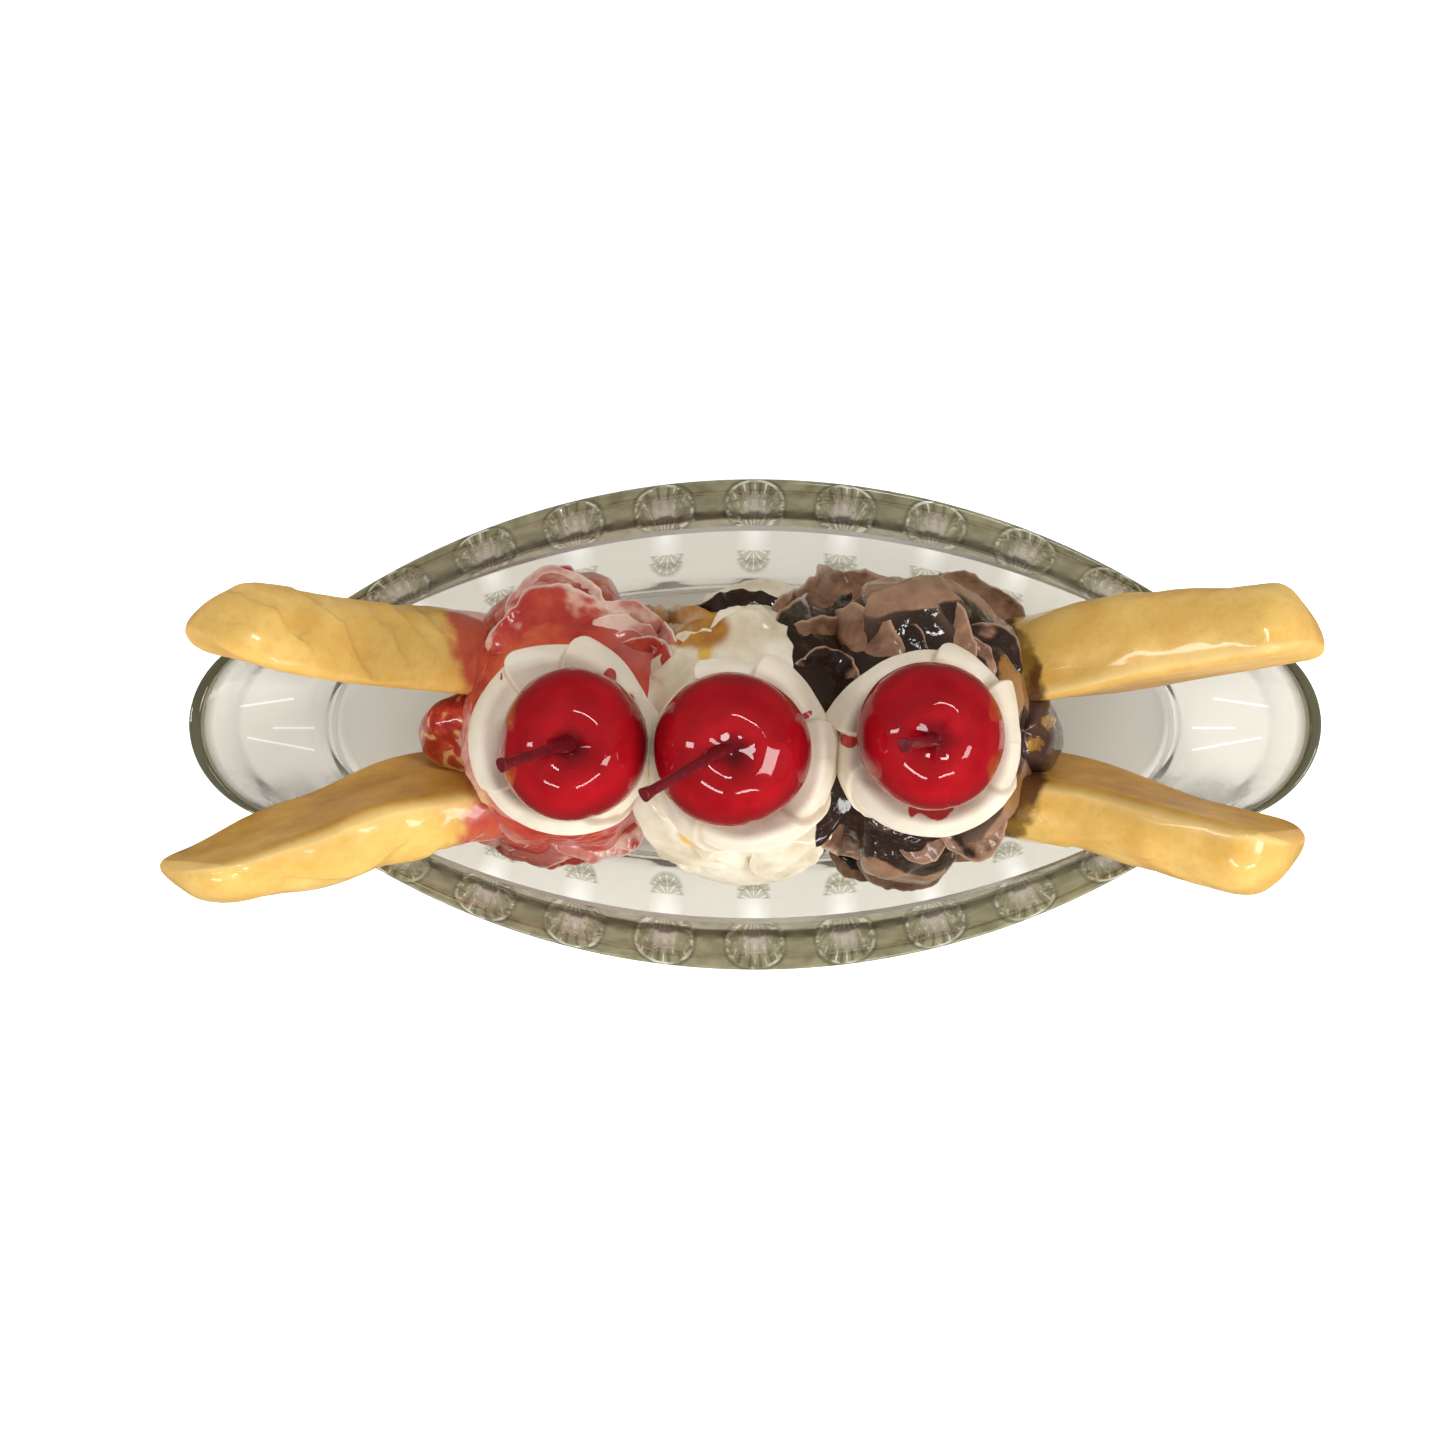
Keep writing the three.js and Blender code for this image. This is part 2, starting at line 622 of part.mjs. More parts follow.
// A piped swirl: overlapping petals that wind round and stand out a little at their free edges.
function makeCream({ centre, turn }) {
  const rings = CREAM_PROFILE.map(([reach, rise], row) => {
    const ring = [];
    for (let column = 0; column < CREAM_COLUMNS; column += 1) {
      const share = column / CREAM_COLUMNS;
      const petal = (share * CREAM_PETALS + row * CREAM_TWIST + turn / 360) % 1;
      const radius = CREAM_RADIUS * reach * (1 + CREAM_PETAL_DEPTH * (petal - 0.5));
      const lift = CREAM_HALF_HEIGHT * (rise + CREAM_PETAL_LIFT * (petal - 0.5));
      const angle = 2 * Math.PI * share;
      ring.push(new THREE.Vector3(radius * Math.cos(angle), radius * Math.sin(angle), lift).add(centre));
    }
    return ring;
  });
  const below = centre.clone().setZ(centre.z - CREAM_HALF_HEIGHT);
  const above = centre.clone().setZ(centre.z + CREAM_SEAT * CREAM_HALF_HEIGHT);
  return ringedGeometry(below, rings, above);
}

function makeCherry({ centre, radius }) {
  const profile = [];
  for (let ring = 0; ring <= CHERRY_RINGS; ring += 1) {
    const angle = Math.PI * between(-0.5, 0.5, ring / CHERRY_RINGS);
    const reach = ring % CHERRY_RINGS === 0 ? 0 : radius * Math.cos(angle);
    const dimple = angle > 0 ? CHERRY_DIMPLE_DEPTH * Math.exp(-((reach / CHERRY_DIMPLE_RADIUS) ** 2)) : 0;
    profile.push(new THREE.Vector2(reach, radius * Math.sin(angle) - dimple));
  }
  const geometry = new THREE.LatheGeometry(profile, CHERRY_SEGMENTS);
  geometry.rotateX(Math.PI / 2);
  return geometry.translate(centre.x, centre.y, centre.z);
}

// A stem grows out of the dimple, bows over, and is a little thicker at both ends.
function makeStem({ base, tip }) {
  const middle = base.clone().lerp(tip, STEM_BOW_AT).add(new THREE.Vector3(0, 0, STEM_BOW));
  const curve = new THREE.QuadraticBezierCurve3(base, middle, tip);
  const rings = [];
  for (let step = 0; step <= STEM_STEPS; step += 1) {
    const share = step / STEM_STEPS;
    const along = curve.getTangentAt(share);
    const side = new THREE.Vector3(0, 1, 0).cross(along).normalize();
    const other = new THREE.Vector3().crossVectors(along, side);
    const flare = STEM_FOOT_FLARE * (1 - eased(0, 0.3, share)) + STEM_TIP_FLARE * eased(0.85, 1, share);
    const ring = [];
    for (let corner = 0; corner < STEM_SIDES; corner += 1) {
      const angle = (2 * Math.PI * corner) / STEM_SIDES;
      ring.push(curve.getPointAt(share)
        .addScaledVector(side, STEM_RADIUS * (1 + flare) * Math.cos(angle))
        .addScaledVector(other, STEM_RADIUS * (1 + flare) * Math.sin(angle)));
    }
    rings.push(ring);
  }
  return ringedGeometry(curve.getPointAt(0), rings, curve.getPointAt(1));
}

// A lump of sauce that has run down between the two banana halves.
function makeSauce({ centre, reach, seed }) {
  const phase = seededRandom(seed)() * 360;
  const rings = [];
  const point = (azimuth, elevation) => {
    const wave = 1 + SAUCE_WAVE * Math.sin(THREE.MathUtils.degToRad(3 * azimuth + 2 * elevation + phase));
    return onBall(azimuth, elevation).multiplyScalar(wave).multiply(reach).add(centre);
  };
  for (let row = 1; row < SAUCE_ROWS; row += 1) {
    const ring = [];
    for (let column = 0; column < SAUCE_COLUMNS; column += 1) {
      ring.push(point((360 * column) / SAUCE_COLUMNS, between(-90, 90, row / SAUCE_ROWS)));
    }
    rings.push(ring);
  }
  return ringedGeometry(point(0, -90), rings, point(0, 90));
}

// ---- Assembly: every piece is cut clear of the pieces it rests on ----

const dish = makeDish();
const bananaRear = cutClear(solidFrom(makeBananaHalf(BANANAS.rear, BANANA_STEPS, BANANA_SIDES)), [dish]);
const bananaFront = cutClear(solidFrom(makeBananaHalf(BANANAS.front, BANANA_STEPS, BANANA_SIDES)), [dish]);
const bananaCutters = [bananaCutter(BANANAS.rear), bananaCutter(BANANAS.front)];

const strawberry = cutBy(solidFrom(makeScoop(SCOOPS.strawberry)), bananaCutters);
const chocolate = cutBy(solidFrom(makeScoop(SCOOPS.chocolate)), bananaCutters);
// The two outer balls are pressed into the one between them.
const pressedIn = [seatCutter(SCOOPS.strawberry), seatCutter(SCOOPS.chocolate)];
const vanilla = cutBy(solidFrom(makeScoop(SCOOPS.vanilla)), [...bananaCutters, ...pressedIn]);
const scoops = [strawberry, vanilla, chocolate];

const cherries = SERVINGS.map((serving) => solidFrom(makeCherry(serving.cherry)));
const seats = SERVINGS.map((serving) => seatCutter(serving.cherry));
const crowns = Object.values(SCOOPS).map(seatCutter);
const creams = [];
SERVINGS.forEach((serving, index) => {
  const swirl = cutBy(solidFrom(makeCream(serving.cream)), [crowns[index], ...seats]);
  creams.push(cutClear(swirl, creams.slice(-1)));
});
const stems = SERVINGS.map((serving, index) =>
  cutClear(solidFrom(makeStem(serving.stem)), [cherries[index]]));

const part = new THREE.Group();

function addPiece(name, solid, colour, look) {
  const material = new THREE.MeshStandardMaterial({ color: colour, ...look });
  const mesh = new THREE.Mesh(geometryFrom(solid), material);
  mesh.name = name;
  part.add(mesh);
}

addPiece('dish', dish, COLOURS.glass, GLASS_LOOK);
addPiece('banana_rear', bananaRear, COLOURS.banana, GLAZED_LOOK);
addPiece('banana_front', bananaFront, COLOURS.banana, GLAZED_LOOK);
addPiece('scoop_strawberry', strawberry, COLOURS.strawberry, GLAZED_LOOK);
addPiece('scoop_vanilla', vanilla, COLOURS.vanilla, GLAZED_LOOK);
addPiece('scoop_chocolate', chocolate, COLOURS.chocolate, GLAZED_LOOK);
SERVINGS.forEach((serving, index) => {
  addPiece(`cream_${serving.place}`, creams[index], COLOURS.cream, MATT_LOOK);
  addPiece(`cherry_${serving.place}`, cherries[index], COLOURS.cherry, GLAZED_LOOK);
  addPiece(`stem_${serving.place}`, stems[index], COLOURS.stem, GLAZED_LOOK);
});
Object.entries(SAUCES).forEach(([name, sauce]) => {
  const neighbours = [dish, bananaRear, bananaFront, ...scoops, ...creams];
  addPiece(name, cutClear(solidFrom(makeSauce(sauce)), neighbours), sauce.colour, GLAZED_LOOK);
});

export default part;
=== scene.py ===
import math

import bpy
import numpy as np
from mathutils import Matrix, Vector, noise


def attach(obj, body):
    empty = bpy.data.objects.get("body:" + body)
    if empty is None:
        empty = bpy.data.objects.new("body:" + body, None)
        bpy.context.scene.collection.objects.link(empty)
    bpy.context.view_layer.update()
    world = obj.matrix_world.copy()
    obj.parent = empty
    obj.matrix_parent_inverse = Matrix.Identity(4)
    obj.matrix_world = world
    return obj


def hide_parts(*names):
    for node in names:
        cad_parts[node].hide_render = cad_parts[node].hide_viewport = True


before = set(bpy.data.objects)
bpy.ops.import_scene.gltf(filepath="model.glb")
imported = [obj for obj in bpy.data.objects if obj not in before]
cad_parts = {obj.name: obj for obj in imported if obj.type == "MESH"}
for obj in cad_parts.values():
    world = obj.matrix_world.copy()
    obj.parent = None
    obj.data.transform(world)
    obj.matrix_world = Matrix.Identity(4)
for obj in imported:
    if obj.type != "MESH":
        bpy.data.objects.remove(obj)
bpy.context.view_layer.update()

# A banana split made as a table display piece: glazed clay bananas and scoops, bisque clay cream
# and cast resin cherries, fixed in a pressed glass boat dish. Shapes are worked out in
# millimetres in the frame of the CAD part and turned to metres as they are written to a mesh.
MM = 0.001

# Blender's noise vectors start from the clock unless they are given a seed.
noise.seed_set(5)

# Dish, as in the CAD part.
RIM_HEIGHT, RIM_LENGTH, RIM_WIDTH = 48, 108, 46.8
FOOT_LENGTH, FOOT_WIDTH = 86.8, 28.8
# The foot rounds off below: height above the table and how far it draws in.
FOOT_ROUND = [(0, 2.8), (0.25, 1.9), (1, 0.8), (2.4, 0.25), (4, 0)]
FLOOR_HEIGHT, FLOOR_LENGTH = 7, 86
LEDGE_HEIGHT, LEDGE_LENGTH, LEDGE_WIDTH = 32, 98.4, 38
SHOULDER_LENGTH, SHOULDER_WIDTH = 101.8, 42
LIP_ROUND, LIP_WALL = 0.8, 2.4
NOSE_RIM, NOSE_FLOOR = (23, 19.2), (15, 15.5)
NOSE_START = math.radians(68)
FLUTE_PITCH, FLUTES_PER_QUARTER = 17.5, 4.5
# Half width of the ribbed shells in the rim band.
SHELL_HALF_WIDTH = 5.9

# Banana halves, close to those of the CAD part: the middle line of the cut face, the thickness at
# both ends, and how the ends round off.
BANANA_HEIGHT = 27
BANANAS = {
    "rear": dict(
        outward=1, lean=-1.5, thickness=(16, 13.6), start=(13, 14, 0.5), end=(6, 7, 0.5),
        spine=[
            (-104, 15.5, 72.5), (-98, 12.6, 68.5), (-81, 9.2, 56), (-60, 6.8, 42.6), (-35, 4.6, 29.5),
            (0, 4.2, 21.9), (35, 4.2, 29.5), (60, 5.2, 42.6), (81, 9.2, 56), (96, 11.9, 67),
            (102.2, 12.8, 71),
        ],
    ),
    "front": dict(
        outward=-1, lean=4.5, thickness=(14.4, 14.4), start=(8, 22, 0.6), end=(7, 11, 0.5),
        spine=[
            (-106, -24, 75), (-98, -22.3, 68.6), (-81, -15.2, 56), (-60, -8.6, 42.6), (-35, -5.4, 29.5),
            (0, -5.2, 21.9), (35, -5.4, 29.5), (60, -8.6, 42.6), (81, -14.8, 56), (94, -18.2, 65.6),
            (99.5, -19.4, 69),
        ],
    ),
}

# Scoops, as in the CAD part. The folds are (turn, height angle, heading, length, width, height).
SCOOPS = {
    "strawberry": dict(
        centre=(-37, 1.5, 43), radius=24.6, seed=11, folds=11, size=(24, 9, 3), ruffles=9, ruffle=1.6,
        big=[(95, 8, 10, 16, 8, 4), (-128, -14, 0, 26, 10, 6)], pressed=[1],
    ),
    "vanilla": dict(
        centre=(-1.5, -2, 43), radius=26, seed=23, folds=10, size=(26, 9, 2.8), ruffles=8, ruffle=1.8,
        big=[(-75, -18, 0, 20, 9, 3.4)], pressed=[],
    ),
    "chocolate": dict(
        centre=(31.5, -0.7, 43), radius=24.6, seed=37, folds=12, size=(30, 10, 4.4), ruffles=7, ruffle=1.5,
        big=[(112, 10, 25, 28, 11, 5.4), (66, 6, -20, 28, 10, 5), (-95, -4, 8, 26, 10, 5)], pressed=[-1],
    ),
}

# How far an outer scoop is flattened toward the end of the dish, and every scoop underneath.
SCOOP_END_SHARE, SCOOP_UNDERSIDE = 0.76, 0.85

# What stands on each scoop: cream centre and turn, cherry centre and radius, how far the cherry is
# puckered round its dimple and how deep that is, the turn, lift and level of a flat on it, and the
# stem's base and tip.
SERVINGS = {
    "left": dict(
        cream=(-35, -2.5, 73.5), turn=0, cherry=(-32.6, -3.6, 88), radius=13.4,
        pucker=0.06, dimple=3.2, flat=(-20, 62, 1.0),
        stem=((-32.4, -3.2, 96.5), (-43.6, -6.8, 112)),
    ),
    "middle": dict(
        cream=(-2.7, -5.9, 75), turn=140, cherry=(-4.6, -4.4, 91), radius=13.8,
        pucker=0.08, dimple=3.4, flat=(-24, 63, 0.94),
        stem=((-5.6, -4, 99.8), (-19.5, -11.8, 115)),
    ),
    "right": dict(
        cream=(30.9, -3.2, 73.5), turn=250, cherry=(30.6, -2, 88), radius=13.2,
        pucker=0.1, dimple=2.4, flat=(100, 70, 0.995),
        stem=((30.8, -2.6, 96.3), (24.3, -3.4, 115.5)),
    ),
}
CREAM_RADIUS, CREAM_HALF_HEIGHT = 17.4, 9


# ---- Numbers and noise ----


def between(low, high, share):
    return low + (high - low) * share


def eased(low, high, value):
    """How far a value is from low to high, starting and ending softly."""
    share = np.clip((np.asarray(value, float) - low) / (high - low), 0, 1)
    return share * share * (3 - 2 * share)


def bell(value, middle, spread):
    """1 at the middle, and falling off softly to both sides."""
    return np.exp(-(((value - middle) / spread) ** 2))


def unit(vectors):
    return vectors / np.linalg.norm(vectors, axis=1)[:, None]


def turn_and_lift(directions):
    """The turn round the upright axis and the height angle of directions, in degrees."""
    turn = np.degrees(np.arctan2(directions[:, 1], directions[:, 0]))
    return turn, np.degrees(np.arcsin(directions[:, 2].clip(-1, 1)))


def seeded(seed):
    """The same random draws as the CAD part makes from a seed."""
    state = seed

    def draw():
        nonlocal state
        state = (state + 0x6D2B79F5) & 0xFFFFFFFF
        mixed = ((state ^ (state >> 15)) * (1 | state)) & 0xFFFFFFFF
        mixed = (mixed + ((mixed ^ (mixed >> 7)) * (61 | mixed))) & 0xFFFFFFFF ^ mixed
        return (mixed ^ (mixed >> 14)) / 4294967296

    return draw


def lumps(points, size, octaves=2, shift=0.0):
    """Smooth noise from -1 to 1 at millimetre points, with lumps of that size."""
    moved = np.asarray(points, float) / size + shift
    return np.array([noise.fractal(Vector(p), 1.0, 2.0, octaves) for p in moved])


def drift(points, size, shift=0.0):
    """A smooth noise vector at millimetre points."""
    moved = np.asarray(points, float) / size + shift
    return np.array([noise.noise_vector(Vector(p)) for p in moved])


# ---- Meshes ----

# Points closer than this are one.
SEAM_GAP = 0.004


def written(piece, points):
    piece.data.vertices.foreach_set("co", (np.asarray(points, float) * MM).astype(np.float32).ravel())
    piece.data.update()


def read(piece):
    flat = np.zeros(len(piece.data.vertices) * 3, np.float32)
    piece.data.vertices.foreach_get("co", flat)
    return flat.reshape(-1, 3).astype(float) / MM


def painted(piece, paints):
    """Keeps named numbers for each point of a piece, for its material to read."""
    for name, values in paints.items():
        layer = piece.data.attributes.new(name, "FLOAT", "POINT")
        layer.data.foreach_set("value", np.asarray(values, np.float32))


def only(piece):
    bpy.ops.object.select_all(action="DESELECT")
    piece.select_set(True)
    bpy.context.view_layer.objects.active = piece


def named(name):
    """Names the primitive that was just added."""
    piece = bpy.context.object
    piece.name = piece.data.name = name
    return piece


def closed_up(piece, points, paints):
    """Moves the points of a primitive into place, merges its seam and poles, turns the faces
    outward and smooths the shading."""
    written(piece, points)
    painted(piece, paints)
    while piece.data.uv_layers:
        piece.data.uv_layers.remove(piece.data.uv_layers[0])
    only(piece)
    bpy.ops.object.mode_set(mode="EDIT")
    bpy.ops.mesh.select_all(action="SELECT")
    bpy.ops.mesh.remove_doubles(threshold=SEAM_GAP * MM)
    bpy.ops.mesh.normals_make_consistent(inside=False)
    bpy.ops.object.mode_set(mode="OBJECT")
    bpy.ops.object.shade_smooth()
    return piece


def wrapped(name, columns, rows, form):
    """A fine grid wrapped round into a closed form. form(round, up) gives millimetre points and
    painted values for shares round and up the form."""
    bpy.ops.object.select_all(action="DESELECT")
    bpy.ops.mesh.primitive_grid_add(x_subdivisions=columns, y_subdivisions=rows, size=2 * MM)
    piece = named(name)
    flat = (read(piece) + 1) / 2
    shares = [np.round(flat[:, axis] * count) / count for axis, count in enumerate((columns, rows))]
    return closed_up(piece, *form(*shares))


def ball(name, subdivisions, form):
    """An even ball whose every point is moved to where form(directions) says."""
    bpy.ops.object.select_all(action="DESELECT")
    bpy.ops.mesh.primitive_ico_sphere_add(subdivisions=subdivisions, radius=MM)
    piece = named(name)
    return closed_up(piece, *form(unit(read(piece))))


def at_places(line, places):
    """Points between those of a line, at places counted along it."""
    return np.stack([np.interp(places, range(len(line)), axis) for axis in line.T], 1)


def through(points, count, closed=False):
    """Points spaced evenly along a smooth line through the given ones, and how long it is."""
    given = np.asarray(points, float)
    if closed:
        ends = np.vstack([given[-1], given, given[0], given[1]])
    else:
        ends = np.vstack([2 * given[0] - given[1], given, 2 * given[-1] - given[-2]])
    line = []
    for index in range(len(ends) - 3):
        p0, p1, p2, p3 = ends[index:index + 4]
        d0, d1, d2 = (max(1e-4, np.linalg.norm(b - a)) ** 0.5 for a, b in ((p0, p1), (p1, p2), (p2, p3)))
        m1 = ((p1 - p0) / d0 - (p2 - p0) / (d0 + d1) + (p2 - p1) / d1) * d1
        m2 = ((p2 - p1) / d1 - (p3 - p1) / (d1 + d2) + (p3 - p2) / d2) * d1
        t = np.linspace(0, 1, 60, endpoint=False)[:, None]
        line.append(p1 + m1 * t + (3 * (p2 - p1) - 2 * m1 - m2) * t**2 + (2 * (p1 - p2) + m1 + m2) * t**3)
    line = np.vstack(line + [ends[-2][None]])
    along = np.concatenate([[0], np.cumsum(np.linalg.norm(np.diff(line, axis=0), axis=1))])
    wanted = np.linspace(0, along[-1], count)
    return np.stack([np.interp(wanted, along, line[:, axis]) for axis in range(line.shape[1])], 1), along[-1]


# ---- Materials ----


def colour(code):
    """Turns an sRGB hex code to linear colour."""
    parts = [int(code[i:i + 2], 16) / 255 for i in (1, 3, 5)]
    return (*[c / 12.92 if c <= 0.04045 else ((c + 0.055) / 1.055) ** 2.4 for c in parts], 1)


def grain(millimetres):
    """The noise scale, on Object coordinates in metres, that gives features of that size."""
    return 1 / (millimetres * MM)


def wired(tree, node, sockets):
    """Sets or links sockets of a node. A node given for one stands for its first output in use,
    and a hex code for its colour."""
    for key, value in sockets.items():
        if isinstance(value, bpy.types.Node):
            value = next(output for output in value.outputs if output.enabled)
        if isinstance(value, bpy.types.NodeSocket):
            tree.links.new(value, node.inputs[key])
        else:
            node.inputs[key].default_value = colour(value) if isinstance(value, str) else value
    return node


def add(tree, kind, sockets, **settings):
    """Adds a node with its settings, and sets or links its sockets."""
    made = tree.nodes.new("ShaderNode" + kind)
    for name, value in settings.items():
        setattr(made, name, value)
    return wired(tree, made, sockets)


def started(name, paints="", **sockets):
    """A new material: its tree, its shader with fixed values set, where a point is on the piece,
    and the values painted on the piece, by name."""
    made = bpy.data.materials.new(name)
    made.use_nodes = True
    tree = made.node_tree
    shader = tree.nodes["Principled BSDF"]
    wired(tree, shader, {key.replace("_", " "): value for key, value in sockets.items()})
    paint = {key: add(tree, "Attribute", {}, attribute_name=key).outputs["Fac"] for key in paints.split()}
    return made, tree, shader, add(tree, "TexCoord", {}).outputs["Object"], paint


def layered(tree, body, *layers):
    """Colours laid over a first one in turn, each as far as its mask says."""
    for mask, over in layers:
        body = add(tree, "Mix", {0: mask, 6: body, 7: over}, data_type="RGBA")
    return body


def mottled(tree, point, size_mm, detail, low=0.35, high=0.65, roughness=0.5, most=1.0):
    """Cloudy patches of a given size: their noise, and how far it is from low to high."""
    cloud = add(tree, "TexNoise", {
        "Vector": point, "Scale": grain(size_mm), "Detail": detail, "Roughness": roughness,
    })
    return cloud, add(tree, "MapRange", {"Value": cloud, "From Min": low, "From Max": high, "To Max": most})


def soft_edge(tree, mask, point, size_mm, spread, low=0.35, high=0.65):
    """A painted mask with its border broken up by noise of a given size."""
    cloud = add(tree, "TexNoise", {"Vector": point, "Scale": grain(size_mm), "Detail": 4.0})
    shaken = add(tree, "Math", {0: cloud, 1: 2 * spread, 2: -spread}, operation="MULTIPLY_ADD")
    total = add(tree, "Math", {0: mask, 1: shaken}, operation="ADD")
    return add(tree, "MapRange", {
        "Value": total, "From Min": low, "From Max": high,
    }, interpolation_type="SMOOTHSTEP")


def glaze_relief(tree, shader, point, lump_mm, pit_mm, lump=0.25, pit=0.12):
    """The slight waviness of a brushed glaze, and the small pits and grit that it leaves."""
    waves = add(tree, "TexNoise", {"Vector": point, "Scale": grain(lump_mm), "Detail": 2.0})
    _, pits = mottled(tree, point, pit_mm, 3.0, 0.32, 0.42, 0.6)
    low = add(tree, "Bump", {"Height": waves, "Strength": lump, "Distance": 0.6 * MM})
    high = add(tree, "Bump", {"Height": pits, "Strength": pit, "Distance": 0.15 * MM, "Normal": low})
    wired(tree, shader, {"Normal": high})


# Painted highlight lines down the nose: offset to the side and lean off the middle line, and where
# they start and end.
NOSE_HIGHLIGHT_LINES = ((23.9, -0.2035, 92, 103.5), (-0.7, 0, 89, 95.4), (-27.76, 0.254, 88.8, 99.2))
NOSE_HIGHLIGHT_HALF_WIDTH = 0.22

# Lines of a shell in the rim band: where its border line is, from the middle of the shell to its
# edge at 1, half the line's width, and the part of each rib fold that goes with it.
# The bright lines are painted highlights and the dark lines painted shade.
SHELL_BRIGHT = (0.92, 0.05, "LESS_THAN", 0.03)
SHELL_DARK = (1.02, 0.06, "GREATER_THAN", 0.12)

# The small shells painted low on the wall as the refraction of the flute ends: half width, height of the
# middle and of the bottom, and the height that they end at.
SMALL_SHELL_HALF_WIDTH, SMALL_SHELL_MIDDLE, SMALL_SHELL_BOTTOM, SMALL_SHELL_TOP = 3.7, 21, 12.5, 20


def shell_reach(tree, wide, high, wander):
    """How far a point is from the middle of a shell to its edge at 1, along a shaky outline."""
    oval = add(tree, "CombineXYZ", {"X": wide, "Y": high, "Z": wander})
    centred = add(tree, "VectorMath", {0: oval, 1: (0, 0, -0.5)}, operation="ADD")
    return add(tree, "VectorMath", {0: centred}, operation="LENGTH")


def rim_shells(tree, point, across, high, wander):
    """The olive of the rim band, its shells with painted highlight and shade lines, and where the highlights
    are.
    """
    wide = add(tree, "Math", {0: across, 1: 1 / SHELL_HALF_WIDTH}, operation="MULTIPLY")
    middle = add(tree, "Math", {0: high, 1: 2.0, 2: -1.0}, operation="MULTIPLY_ADD")
    reach = shell_reach(tree, wide, middle, wander)
    root = add(tree, "Math", {0: high, 1: 0.15}, operation="ADD")
    turn = add(tree, "Math", {0: wide, 1: root}, operation="ARCTAN2")
    fold = add(tree, "Math", {0: turn, 1: 0.17}, operation="PINGPONG")
    ribbed = add(tree, "Math", {0: reach, 1: 0.66, 2: 0.26}, operation="COMPARE")
    lines = []
    for border, half_width, test, limit in (SHELL_BRIGHT, SHELL_DARK):
        edge = add(tree, "Math", {0: reach, 1: border, 2: half_width}, operation="COMPARE")
        rib = add(tree, "Math", {0: fold, 1: limit}, operation=test)
        rib = add(tree, "Math", {0: rib, 1: ribbed}, operation="MULTIPLY")
        lines.append(add(tree, "Math", {0: edge, 1: rib}, operation="MAXIMUM"))
    _, broken = mottled(tree, point, 2.6, 1.0, 0.42, 0.56)
    bright = add(tree, "Math", {0: lines[0], 1: broken}, operation="MULTIPLY")
    shade = add(tree, "Math", {0: lines[1], 1: 0.55}, operation="MULTIPLY")
    window = add(tree, "MapRange", {"Value": reach, "From Min": 0.58, "From Max": 0.34, "To Max": 0.85})
    streak = add(tree, "MapRange", {"Value": wander, "From Min": 0.35, "From Max": 0.65})
    olive = layered(
        tree, "#8a8565", (streak, "#aea785"), (window, "#d0c6bb"), (shade, "#56563e"), (bright, "#e4e2cf"),
    )
    return olive, bright


def painted_flute_ends(tree, clear, across, height, wander):
    """The clear wall with painted refraction of the flute ends: olive shells, highlit ribs and a dark
    outline.
    """
    wide = add(tree, "Math", {0: across, 1: 1 / SMALL_SHELL_HALF_WIDTH}, operation="MULTIPLY")
    high = add(tree, "MapRange", {
        "Value": height, "From Min": SMALL_SHELL_MIDDLE * MM, "From Max": SMALL_SHELL_BOTTOM * MM,
    }, clamp=False)
    reach = shell_reach(tree, wide, high, wander)
    low = add(tree, "Math", {0: height, 1: SMALL_SHELL_TOP * MM}, operation="LESS_THAN")
    fill = add(tree, "MapRange", {"Value": reach, "From Min": 1.0, "From Max": 0.7, "To Max": 0.8})
    border = add(tree, "Math", {0: reach, 1: 0.86, 2: 0.12}, operation="COMPARE")
    turn = add(tree, "Math", {0: wide, 1: high}, operation="ARCTAN2")
    fold = add(tree, "Math", {0: turn, 1: 0.3}, operation="PINGPONG")
    rib = add(tree, "Math", {0: fold, 1: 0.07}, operation="LESS_THAN")
    shown = add(tree, "Math", {0: fill, 1: low}, operation="MULTIPLY")
    clear = layered(tree, clear, (shown, "#83816a"))
    for mask, code in ((rib, "#e2dfcf"), (border, "#55543d")):
        shown = add(tree, "Math", {0: mask, 1: fill}, operation="MULTIPLY")
        shown = add(tree, "Math", {0: shown, 1: low}, operation="MULTIPLY")
        clear = layered(tree, clear, (shown, code))
    return clear


def nose_highlights(tree, along, side, paint):
    """Painted highlight lines down the inside of each nose, and a painted highlight on the floor edge there.
    """
    lines, half_width = None, NOSE_HIGHLIGHT_HALF_WIDTH * MM
    for offset, lean, near, far in NOSE_HIGHLIGHT_LINES:
        level = add(tree, "Math", {0: along, 1: -lean, 2: side}, operation="MULTIPLY_ADD")
        line = add(tree, "Math", {0: level, 1: offset * MM, 2: half_width}, operation="COMPARE")
        middle, half = (near + far) / 2 * MM, (far - near) / 2 * MM
        reached = add(tree, "Math", {0: along, 1: middle, 2: half}, operation="COMPARE")
        line = add(tree, "Math", {0: line, 1: reached}, operation="MULTIPLY")
        lines = line if lines is None else add(tree, "Math", {0: lines, 1: line}, operation="MAXIMUM")
    lines = add(tree, "Math", {0: lines, 1: paint["inner"]}, operation="MULTIPLY")
    return add(tree, "Math", {0: lines, 1: paint["floor_edge"]}, operation="MAXIMUM")
